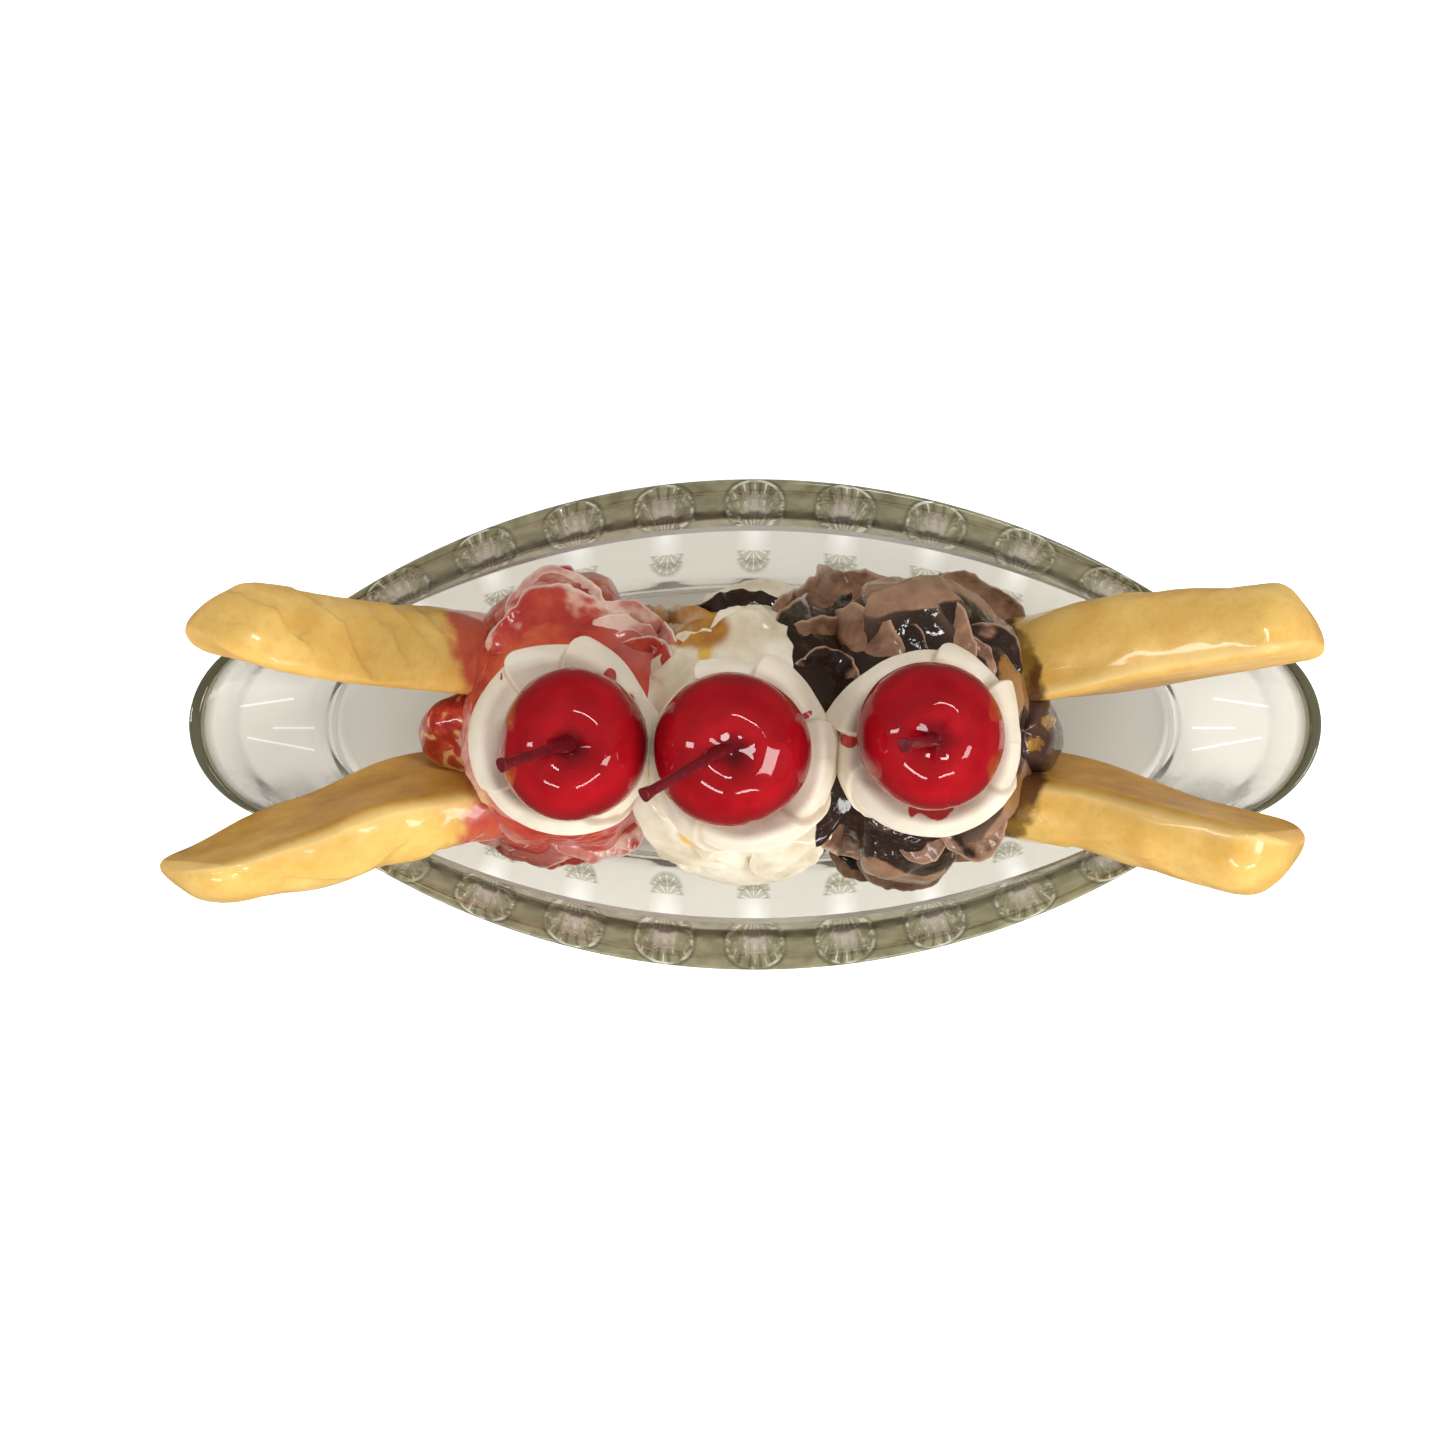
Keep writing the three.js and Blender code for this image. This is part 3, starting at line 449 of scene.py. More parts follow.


# Pressed soda-lime glass: clear through a thin wall, olive grey along the thick rim, where ribbed shells are
# pressed into it with clearer middles and painted highlights on their edges, and the refraction of the flute
# ends is painted low down as small shells.
def pressed_glass():
    made, tree, shader, point, paint = started(
        "pressed_glass", "flute_run rim_band band_share inner floor_edge ledge_edge lip foot nose",
        Roughness=0.01, IOR=1.52, Transmission_Weight=1.0,
    )
    band, high, nose = paint["rim_band"], paint["band_share"], paint["nose"]
    lip, ledge = paint["lip"], paint["ledge_edge"]
    place = add(tree, "SeparateXYZ", {"Vector": point}).outputs
    along = add(tree, "Math", {0: place["X"]}, operation="ABSOLUTE")
    height = place["Z"]
    across = add(tree, "Math", {0: paint["flute_run"], 1: FLUTE_PITCH / 2}, operation="PINGPONG")
    wander = add(tree, "TexNoise", {"Vector": point, "Scale": grain(4), "Detail": 2.0})
    olive, bright = rim_shells(tree, point, across, high, wander)
    # Below the ledge: a painted highlight down the middle of each flute, and greyer through the thick foot,
    # partly from the glass and partly painted shadow of the scoops, which is lighter toward the noses.
    flute_highlight = add(tree, "MapRange", {
        "Value": across, "From Min": 0.6, "From Max": 3.6, "To Min": 1.0, "To Max": 0.0,
    })
    fade = add(tree, "MapRange", {"Value": height, "From Min": 14 * MM, "From Max": 30 * MM})
    flute_highlight = add(tree, "Math", {0: flute_highlight, 1: fade}, operation="MULTIPLY")
    thick = add(tree, "MapRange", {"Value": height, "From Min": 9 * MM, "From Max": 6.9 * MM})
    toward_nose = add(tree, "MapRange", {"Value": along, "From Min": 62 * MM, "From Max": 84 * MM})
    foot_grey_and_shadow = layered(tree, "#c3bdb0", (toward_nose, "#ece8e0"))
    clear = layered(tree, "#d5d1c7", (flute_highlight, "#f1efe9"), (thick, foot_grey_and_shadow))
    clear = painted_flute_ends(tree, clear, across, height, wander)
    # The lines down the noses and the floor edge there are painted highlights, in white.
    lines = nose_highlights(tree, along, place["Y"], paint)
    nose_lip = add(tree, "Math", {0: lip, 1: nose}, operation="MULTIPLY")
    # The ledge is painted near white: a painted highlight line along it.
    body = layered(
        tree, clear, (nose, "#cbc7be"), (lines, "#ffffff"), (band, olive), (ledge, "#f6f4ec"),
        (nose_lip, "#706f58"),
    )
    # Less light goes through the thick band, the ledge and the lip.
    part = add(tree, "MapRange", {"Value": band, "To Min": 1.0, "To Max": 0.72})
    for mask, left in ((ledge, 0.25), (lip, 0.4)):
        part = add(tree, "Mix", {0: mask, 2: part, 3: left})
    # Ground dull: the foot, the ledge and the foot of the band.
    low_band = add(tree, "MapRange", {"Value": high, "From Min": 0.62, "From Max": 0.4, "To Max": 0.5})
    low_band = add(tree, "Math", {0: low_band, 1: band}, operation="MULTIPLY")
    dull = add(tree, "Math", {0: paint["foot"], 1: ledge}, operation="MAXIMUM")
    dull = add(tree, "Math", {0: dull, 1: low_band}, operation="MAXIMUM")
    ripple = add(tree, "TexNoise", {"Vector": point, "Scale": grain(9), "Detail": 1.0})
    bump = add(tree, "Bump", {"Height": ripple, "Strength": 0.15, "Distance": 0.5 * MM})
    raised = add(tree, "Math", {0: bright, 1: band}, operation="MULTIPLY")
    relief = add(tree, "Bump", {"Height": raised, "Strength": 0.35, "Distance": 0.4 * MM, "Normal": bump})
    wired(tree, shader, {
        "Base Color": body,
        "Transmission Weight": part,
        "Roughness": add(tree, "MapRange", {"Value": dull, "To Min": 0.01, "To Max": 0.5}),
        "Normal": relief,
    })
    depth = add(tree, "VolumeAbsorption", {"Color": "#c9c5ab", "Density": 8.0})
    wired(tree, tree.nodes["Material Output"], {"Volume": depth})
    return made


# Warm yellow glaze over modelled clay: glossy, mottled where it is thin, paler on sharp edges, dull olive
# tan on the cut faces, painted shade in the creases, and berry and chocolate glaze run into it near the
# scoops.
def banana_glaze():
    made, tree, shader, point, paint = started(
        "banana_glaze", "cut edge crease berry stain face",
        Roughness=0.3, IOR=1.45, Specular_IOR_Level=0.35, Coat_Weight=0.35, Coat_Roughness=0.06,
    )
    cloud, thin = mottled(tree, point, 11, 5.0, roughness=0.6)
    _, speck = mottled(tree, point, 1.6, 4.0, 0.5, 0.75, 0.7, most=0.35)
    worn_thin = add(tree, "MapRange", {"Value": cloud, "From Min": 0.46, "From Max": 0.6})
    tan, red = layered(tree, "#ac7d26", (thin, "#cca044")), layered(tree, "#b6423a", (thin, "#cc6240"))
    brown = layered(tree, "#5d3a1b", (worn_thin, "#94702a"))
    body = layered(
        tree, "#dca94f",
        (thin, "#ebc26c"),
        (speck, "#c99640"),
        (soft_edge(tree, paint["cut"], point, 5, 0.12), tan),
        (paint["edge"], "#efd594"),
        # Painted shade along the crease lines.
        (soft_edge(tree, paint["crease"], point, 2, 0.1), "#b3843a"),
        (soft_edge(tree, paint["berry"], point, 4, 0.3), red),
        (soft_edge(tree, paint["stain"], point, 5, 0.32, 0.42, 0.6), brown),
    )
    wired(tree, shader, {
        "Base Color": body,
        "Coat Weight": add(tree, "MapRange", {"Value": paint["face"], "To Min": 0.35, "To Max": 0.08}),
        "Roughness": add(tree, "MapRange", {"Value": paint["face"], "To Min": 0.3, "To Max": 0.55}),
    })
    glaze_relief(tree, shader, point, 6, 0.9, 0.3, 0.25)
    return made


# Pale pink clay under red and orange glaze that has run off the ridges and pooled in the folds, with
# painted highlights along the crests.
def strawberry_glaze():
    made, tree, shader, point, paint = started(
        "strawberry_glaze", "pool warm gold crest",
        Roughness=0.28, IOR=1.45, Specular_IOR_Level=0.35, Coat_Weight=0.4, Coat_Roughness=0.06,
    )
    _, tint = mottled(tree, point, 6, 5.0, 0.36, 0.64, 0.6)
    red, orange = layered(tree, "#a02823", (tint, "#bf4636")), layered(tree, "#b63f2a", (tint, "#cc6238"))
    body = layered(
        tree, "#c98c7c",
        (tint, "#e6bfae"),
        (soft_edge(tree, paint["pool"], point, 4, 0.25, 0.38, 0.62), red),
        (soft_edge(tree, paint["warm"], point, 7, 0.3, 0.35, 0.75), orange),
        (soft_edge(tree, paint["gold"], point, 3.5, 0.3, 0.45, 0.7), "#cf9a4c"),
        # Painted highlight along the crests and the free edges of the curls.
        (paint["crest"], "#efd6c6"),
    )
    wired(tree, shader, {"Base Color": body})
    glaze_relief(tree, shader, point, 2.6, 0.8, 0.6, 0.2)
    return made


# Off-white clay under clear glaze, with lemon and amber patches and a run of chocolate glaze, and painted
# shade low between the folds.
def vanilla_glaze():
    made, tree, shader, point, paint = started(
        "vanilla_glaze", "lemon amber dark crease",
        Roughness=0.3, IOR=1.45, Specular_IOR_Level=0.35, Coat_Weight=0.3, Coat_Roughness=0.06,
    )
    _, tint = mottled(tree, point, 8, 5.0, 0.36, 0.64, 0.55)
    dark = soft_edge(tree, paint["dark"], point, 5, 0.2, 0.46, 0.54)
    amber = layered(tree, "#9a5c1c", (tint, "#bf8a34"))
    body = layered(
        tree, "#d3c4a6",
        (tint, "#efe6d2"),
        (soft_edge(tree, paint["lemon"], point, 3.5, 0.3, 0.5, 0.72), "#e0b451"),
        (soft_edge(tree, paint["amber"], point, 4, 0.35, 0.3, 0.8), amber),
        (dark, "#2c1b12"),
        # Painted shade low between the folds.
        (paint["crease"], "#a48f6c"),
    )
    gloss = add(tree, "MapRange", {"Value": dark, "To Min": 0.32, "To Max": 0.06})
    wired(tree, shader, {"Base Color": body, "Roughness": gloss})
    glaze_relief(tree, shader, point, 3.5, 0.8, 0.25, 0.2)
    return made


# Milk-brown clay curls with near-black sauce glaze run between them, and painted highlights on their edges.
def chocolate_glaze():
    made, tree, shader, point, paint = started(
        "chocolate_glaze", "pool gold crest",
        IOR=1.45, Specular_IOR_Level=0.35, Coat_Weight=0.3, Coat_Roughness=0.05,
    )
    _, tint = mottled(tree, point, 5, 6.0, roughness=0.65)
    pool = soft_edge(tree, paint["pool"], point, 4, 0.2, 0.4, 0.6)
    body = layered(
        tree, "#6a4834",
        (tint, "#9e775d"),
        (pool, "#2d1e17"),
        (soft_edge(tree, paint["gold"], point, 2.5, 0.35, 0.45, 0.7), "#8a5f24"),
        # Painted highlight along the crests and the free edges of the curls.
        (paint["crest"], "#c09a80"),
    )
    gloss = add(tree, "MapRange", {"Value": pool, "To Min": 0.35, "To Max": 0.06})
    wired(tree, shader, {"Base Color": body, "Roughness": gloss})
    glaze_relief(tree, shader, point, 2.2, 0.8, 0.5, 0.4)
    return made


# Bisque clay, fired without glaze: matt, chalky off-white, with painted shade in the creases, and a few
# smears of berry glaze.
def bisque_cream():
    made, tree, shader, point, paint = started(
        "bisque_cream", "crease berry", Roughness=0.62, IOR=1.5,
        Subsurface_Weight=0.12, Subsurface_Radius=(1.0, 0.7, 0.5), Subsurface_Scale=1.2 * MM,
    )
    _, tint = mottled(tree, point, 9, 4.0)
    smear = soft_edge(tree, paint["berry"], point, 2.5, 0.28, 0.5, 0.62)
    body = layered(
        # Painted shade in the creases.
        tree, "#d8cbb5", (tint, "#e5dac8"), (paint["crease"], "#c2ad91"), (smear, "#b5403a"),
    )
    gloss = add(tree, "MapRange", {"Value": smear, "To Min": 0.62, "To Max": 0.15})
    wired(tree, shader, {"Base Color": body, "Roughness": gloss})
    glaze_relief(tree, shader, point, 5, 0.7, 0.2, 0.3)
    return made


# Clear red casting resin: deep and glossy, a little cloudy inside, with painted shade round its widest part
# and in the dimple, and fine ripples where it shrank in its mould.
def cherry_resin():
    made, tree, shader, point, paint = started(
        "cherry_resin", "girth dimple", Roughness=0.04, IOR=1.45, Specular_IOR_Level=0.35,
        Subsurface_Weight=0.35, Subsurface_Radius=(1.0, 0.12, 0.08), Subsurface_Scale=3 * MM,
    )
    _, tint = mottled(tree, point, 7, 3.0)
    body = layered(
        tree, "#920a14", (tint, "#a8121c"), (paint["girth"], "#73060f"), (paint["dimple"], "#560813"),
    )
    ripple = add(tree, "TexNoise", {"Vector": point, "Scale": grain(5), "Detail": 1.0})
    bump = add(tree, "Bump", {"Height": ripple, "Strength": 0.12, "Distance": 0.5 * MM})
    wired(tree, shader, {"Base Color": body, "Normal": bump})
    return made


# Burgundy resin drawn over wire for the stems: satin, darker than the cherries.
def stem_resin():
    made, tree, shader, point, _ = started("stem_resin", Roughness=0.3, IOR=1.45, Specular_IOR_Level=0.3)
    cloud = add(tree, "TexNoise", {"Vector": point, "Scale": grain(2), "Detail": 4.0})
    wired(tree, shader, {"Base Color": layered(tree, "#4f0a12", (cloud, "#74141d"))})
    glaze_relief(tree, shader, point, 2, 0.6, 0.3, 0.3)
    return made


# Thick berry glaze, poured between the bananas: glossy deep red with gold streaks where it
# thinned over the yellow.
def berry_sauce():
    made, tree, shader, point, _ = started("berry_sauce", Roughness=0.08, IOR=1.5)
    swirl = add(tree, "TexNoise", {"Vector": point, "Scale": grain(7), "Detail": 5.0, "Distortion": 1.6})
    deep = add(tree, "MapRange", {"Value": swirl, "From Min": 0.42, "From Max": 0.56})
    gold = add(tree, "MapRange", {"Value": swirl, "From Min": 0.54, "From Max": 0.6})
    wired(tree, shader, {"Base Color": layered(tree, "#a32a22", (deep, "#c3473a"), (gold, "#e0b176"))})
    glaze_relief(tree, shader, point, 3, 0.8, 0.4, 0.15)
    return made


# Thick chocolate glaze between the bananas, purple brown with a few gold-brown bits in it.
def chocolate_sauce():
    made, tree, shader, point, paint = started("chocolate_sauce", "gold", Roughness=0.08, IOR=1.5)
    bits, streaks = mottled(tree, point, 5, 3.0, 0.4, 0.6)
    gold = soft_edge(tree, paint["gold"], point, 1.3, 1.4, 0.56, 0.7)
    body = layered(tree, "#38251f", (bits, "#5b4239"), (gold, layered(tree, "#7d5a26", (streaks, "#c79a4c"))))
    wired(tree, shader, {"Base Color": body})
    glaze_relief(tree, shader, point, 3, 0.8, 0.4, 0.2)
    return made


# ---- Dish ----

FLUTE_HALF, FLUTE_DEPTH, FLUTE_BOTTOM, FLUTE_TOP = 6.4, 0.35, 4, 42
FAN_RIBS, FAN_DEPTH = 7, 0.4
# Height of the root of the fan at the top of a flute, and how far it reaches from there.
FAN_ROOT, FAN_REACH = 32.8, 8.2


def outline(half_length, half_width, side_steps=140, nose_steps=34):
    """The dish outline at a level, anticlockwise, and each point's place along the flutes."""
    reach = (half_length - FLOOR_LENGTH) / (RIM_LENGTH - FLOOR_LENGTH)
    nose = [between(NOSE_FLOOR[i], NOSE_RIM[i], reach) for i in (0, 1)]
    joint, drop = half_length - nose[0], half_width - nose[1]
    radius = (joint**2 + drop**2) / (2 * drop)
    rim_joint = RIM_LENGTH - NOSE_RIM[0]
    along = FLUTE_PITCH * FLUTES_PER_QUARTER * np.linspace(0, 1, side_steps + 1)
    x = along - (rim_joint - joint) * (along / rim_joint) ** 4
    y = half_width - radius + np.sqrt(radius**2 - x**2)
    turn = NOSE_START * (1 - np.linspace(0, 1, nose_steps + 1))
    quarter = np.vstack([
        np.stack([x, y, along], 1),
        np.stack([joint + nose[0] * np.cos(turn), nose[1] * np.sin(turn), np.full(len(turn), np.nan)], 1),
    ])
    back, fore = quarter[:0:-1], quarter[:-1]
    return np.vstack([back, fore * (-1, 1, 1), back * (-1, -1, 1), fore * (1, -1, 1)])


def pressed_in(along, height):
    """How deep the outside is pressed in at a place on the long side: shallow flutes with a deeper
    ribbed fan at the top."""
    across = along - FLUTE_PITCH * np.round(along / FLUTE_PITCH)
    run = eased(FLUTE_BOTTOM, FLUTE_BOTTOM + 5, height) * (1 - eased(FLUTE_TOP - 9, FLUTE_TOP - 4, height))
    depth = FLUTE_DEPTH * run * (0.5 + 0.5 * np.cos(np.minimum(1, np.abs(across) / FLUTE_HALF) * math.pi))
    rise = height - FAN_ROOT
    share = np.sqrt(across**2 + rise**2) / FAN_REACH
    turn = np.arctan2(across, rise)
    leaf = eased(0.05, 0.45, share) * (1 - eased(0.86, 1, share)) * (1 - eased(1.15, 1.4, np.abs(turn)))
    ribs = 0.45 + 0.55 * np.abs(np.cos(turn * FAN_RIBS / 2)) ** 0.6
    return np.nan_to_num(depth + FAN_DEPTH * leaf * (2.2 * (1 - share) + 0.4) * ribs)


# Height, half length and half width up the inside, from the floor to under the lip.
DISH_INSIDE = [
    (FLOOR_HEIGHT, 84, 26), (7.15, 85, 27), (7.7, 86.1, 28), (9, 87.2, 28.8), (12, 88.9, 30.1),
    (21, 93, 33.7),
    (31.5, 98.15, 37.8), (LEDGE_HEIGHT, LEDGE_LENGTH, LEDGE_WIDTH),
    (LEDGE_HEIGHT + 0.4, LEDGE_LENGTH + 0.2, LEDGE_WIDTH + 0.8), (32.8, 98.83, 38.99),
    (38, 101.8, 41.5), (RIM_HEIGHT - 2, 105.1, 44), (RIM_HEIGHT - 1.2, 105.5, 44.3),
]

# Heights between which the noses are a plain bowl, and over which lengths the ledge dies out.
BOWL_BETWEEN, NOSE_REACH = (38, 12), (72, 86)

# Shares of all the levels, from the foot on, after which they are past the rim and well inside.
PAST_RIM, WELL_INSIDE = 0.6, 0.76
# Lengths over which a side turns into a nose, where the two meet, how far round that place the
# glass is ground, and between which heights.
NOSE_BETWEEN = (76, 90)
CORNER_PLACE, CORNER_SPREAD, CORNER_BETWEEN = (92.5, 15), 5, (12, 38)
# Above this angle between faces, in degrees, an edge of the dish stays sharp.
SHARP_EDGE = 14


def outer_wall(height):
    """Half length and half width up the outside: straight to the shoulder, then to the rim."""
    drawn_in = np.interp(height, *zip(*FOOT_ROUND))
    below = min(1, height / LEDGE_HEIGHT)
    above = max(0, (height - LEDGE_HEIGHT) / (RIM_HEIGHT - LEDGE_HEIGHT))
    return (
        between(between(FOOT_LENGTH, SHOULDER_LENGTH, below), RIM_LENGTH, above) - drawn_in,
        between(between(FOOT_WIDTH, SHOULDER_WIDTH, below), RIM_WIDTH, above) - drawn_in,
    )


def dish_levels():
    """Height, half length, half width and whether fluted, from the foot up the outside, over the
    lip, and down the inside to the floor."""
    levels = []
    for height in [0, 0.1, 0.25, 0.5, 1, 1.6, 2.4, 3.2, *np.arange(4, 47.1, 0.75), RIM_HEIGHT - LIP_ROUND]:
        levels.append((height, *outer_wall(height), True))
    over_lip = [(turn, False) for turn in range(10, 91, 10)] + [(turn, True) for turn in range(90, 0, -10)]
    for turn, past_top in over_lip:
        turn = np.radians(turn)
        out = LIP_ROUND * (1 - math.cos(turn))
        back = LIP_WALL - out if past_top else out
        height = RIM_HEIGHT - LIP_ROUND * (1 - math.sin(turn))
        levels.append((height, RIM_LENGTH - back, RIM_WIDTH - back, False))
    inside = DISH_INSIDE[::-1]
    for low, high in zip(inside, inside[1:]):
        for share in (0, 0.34, 0.67):
            levels.append((*[between(low[axis], high[axis], share) for axis in range(3)], False))
    levels.append((*inside[-1], False))
    return levels


def dish_paints(points, levels, runs):
    """Where the band, the ledge, the lip, the noses and the dull ground places are."""
    along, across, height = np.abs(points[:, 0]), np.abs(points[:, 1]), points[:, 2]
    nose = eased(*NOSE_BETWEEN, along)
    side = 1 - nose
    on_ledge = (np.abs(height - LEDGE_HEIGHT - 0.2) < 0.35) * (across < LEDGE_WIDTH + 1.2)
    widths = np.repeat([width for _, _, width, _ in levels], len(points) // len(levels))
    inner = np.arange(len(points)) > len(points) * WELL_INSIDE
    # Ground dull: the foot, and the corners where the noses meet the long sides.
    corner = bell(np.hypot(along - CORNER_PLACE[0], across - CORNER_PLACE[1]), 0, CORNER_SPREAD)
    corner *= (height > CORNER_BETWEEN[0]) * (height < CORNER_BETWEEN[1])
    corner += eased(66, 74, along) * eased(8, 14, across) * (1 - eased(11, 16, height))
    return {
        "flute_run": np.where(np.isnan(runs), FLUTE_PITCH * FLUTES_PER_QUARTER, runs),
        "rim_band": eased(LEDGE_HEIGHT - 0.1, LEDGE_HEIGHT + 0.4, height) * side,
        # The ledge gets a painted highlight line.
        "ledge_edge": on_ledge * side,
        "band_share": (widths - LEDGE_WIDTH) / (RIM_WIDTH - LEDGE_WIDTH),
        "lip": eased(RIM_HEIGHT - 2.9, RIM_HEIGHT - 1.3, height),
        "nose": nose,
        "inner": inner,
        # A painted highlight along the edge of the floor in the noses.
        "floor_edge": inner * nose * bell(height, 7.6, 0.2),
        "foot": np.maximum(1 - eased(2.4, 4, height), 0.7 * corner.clip(0, 1)),
    }


def make_dish():
    """The outline of the foot, extruded up the outside, over the lip and down to the floor."""
    levels = dish_levels()
    outlines = [outline(length, width) for _, length, width, _ in levels]
    rings = []
    for ring, (height, _, _, fluted) in zip(outlines, levels):
        depth = pressed_in(ring[:, 2], height) if fluted else 0
        y = ring[:, 1] - np.sign(ring[:, 1]) * depth
        rings.append(np.stack([ring[:, 0], y, np.full(len(ring), float(height))], 1))
    # Round the noses the ledge dies out into a plain bowl.
    heights = np.array([ring[0, 2] for ring in rings])
    inside = np.arange(len(rings)) > len(rings) * PAST_RIM
    top, bottom = [
        int(np.flatnonzero(inside & (np.abs(heights - level) < 0.01))[0]) for level in BOWL_BETWEEN
    ]
    for index in range(top + 1, bottom):
        share = (heights[index] - heights[bottom]) / (heights[top] - heights[bottom])
        plain = between(rings[bottom], rings[top], share)
        rings[index] = between(rings[index], plain, eased(*NOSE_REACH, np.abs(plain[:, 0]))[:, None])
    bpy.ops.object.select_all(action="DESELECT")
    bpy.ops.mesh.primitive_circle_add(vertices=len(rings[0]), radius=RIM_LENGTH * MM, fill_type="NGON")
    piece = named("boat_dish")
    bpy.ops.object.mode_set(mode="EDIT")
    bpy.ops.mesh.select_all(action="SELECT")
    bpy.ops.mesh.delete(type="ONLY_FACE")
    bpy.ops.mesh.select_all(action="SELECT")
    for _ in rings[1:]:
        bpy.ops.mesh.extrude_region_move(TRANSFORM_OT_translate={"value": (0, 0, MM)})
    bpy.ops.mesh.edge_face_add()
    bpy.ops.object.mode_set(mode="OBJECT")
    points = np.vstack(rings)
    written(piece, points)
    painted(piece, dish_paints(points, levels, np.concatenate(outlines)[:, 2]))
    bpy.ops.object.mode_set(mode="EDIT")
    bpy.ops.mesh.select_all(action="DESELECT")
    bpy.ops.mesh.select_non_manifold()
    bpy.ops.mesh.edge_face_add()
    bpy.ops.mesh.select_all(action="SELECT")
    bpy.ops.mesh.normals_make_consistent(inside=False)
    bpy.ops.object.mode_set(mode="OBJECT")
    bpy.ops.object.shade_smooth_by_angle(angle=math.radians(SHARP_EDGE))
    return piece


# ---- Banana halves ----


def banana_section(count=96):
    """The D section as shares of height and thickness: up the flat cut face, down the round back."""
    turn = between(0.47 * math.pi, -0.47 * math.pi, np.linspace(0, 1, 15))
    full = 1 - 0.4 * np.maximum(0, -np.sin(turn))
    back = np.stack([0.5 * np.sin(turn), 0.1 + 0.9 * full * np.cos(turn) ** 0.75], 1)
    face = np.stack([np.linspace(-0.45, 0.45, 9), np.zeros(9)], 1)
    corner = np.array([[0.49, 0.07], [-0.49, 0.07]])
    return through(np.vstack([face, corner[:1], back, corner[1:]]), count + 1, closed=True)[0][:-1]


def rounded_off(distance, length, power):
    return (1 - np.maximum(0, 1 - distance / length) ** 2) ** power


def groove(x, depth, marks):
    """Creases drawn with a tool: each runs from one place to another, over (x, share of depth)."""
    total = np.zeros(len(x))
    for x0, d0, x1, d1, width, deep in marks:
        run = np.array([x1 - x0, MEAN_THICKNESS * (d1 - d0)])
        off = np.stack([x - x0, MEAN_THICKNESS * (depth - d0)], 1)
        share = np.clip(off @ run / (run @ run), 0, 1)
        distance = np.linalg.norm(off - share[:, None] * run, axis=1)
        # Steep on the side where the tool stood, sloping off on the other.
        spread = width * np.where(run[0] * off[:, 1] > run[1] * off[:, 0], 2.0, 0.5)
        fade = 0.35 + 0.65 * np.sin(math.pi * (0.15 + 0.8 * share))
        total = np.maximum(total, deep * bell(distance, 0, spread) * fade)
    return total


# Points along the middle line of a half, and the thickness that creases are measured by.
SPINE_POINTS, MEAN_THICKNESS = 1500, 14
# Creases on the round backs: from x and share of the thickness, to x and share, width and depth.
BANANA_MARKS = {
    "rear": [
        (-98.5, 0.92, -93.6, 0.78, 1.9, 1.8), (-93.6, 0.78, -91, 0.5, 2.1, 2.8),
        (-86, 0.92, -81.6, 0.76, 1.9, 1.8), (-81.6, 0.76, -79.6, 0.36, 2.3, 3.0),
        (-77, 0.92, -73.6, 0.7, 1.6, 1.5), (-73.6, 0.7, -72.4, 0.42, 1.7, 1.8),
        (-71, 0.92, -67.6, 0.55, 1.3, 1.1), (-66.5, 0.92, -64.8, 0.65, 1.2, 0.9),
        (-108, 0.75, -101, 0.5, 1.8, 0.9),
    ],
    "front": [
        (-68, 0.95, -66, 0.7, 1.2, 1.0), (-64, 0.95, -62.5, 0.72, 1.0, 0.9), (-60, 0.95, -59, 0.72, 1.0, 0.8),
        (-98, 0.6, -80, 0.95, 2.0, 0.9), (-78, 0.85, -71, 0.5, 1.8, 0.8), (-104, 0.3, -94, 0.6, 1.6, 0.8),
        (66, 0.92, 78, 0.55, 1.6, 0.8), (74, 0.9, 86, 0.7, 1.6, 0.6),
    ],
}
# Where each half was squeezed while soft: x, spread, how much further its cut face leans there, and
# how far its back swells out.
SQUEEZES = {
    "rear": [(-88, 26, -3.8, 0), (70, 20, 0, 3.6)],
    "front": [(-98, 8, 0, -3), (-87, 8, 2.4, 0), (-67, 12, 4, 0)],
}


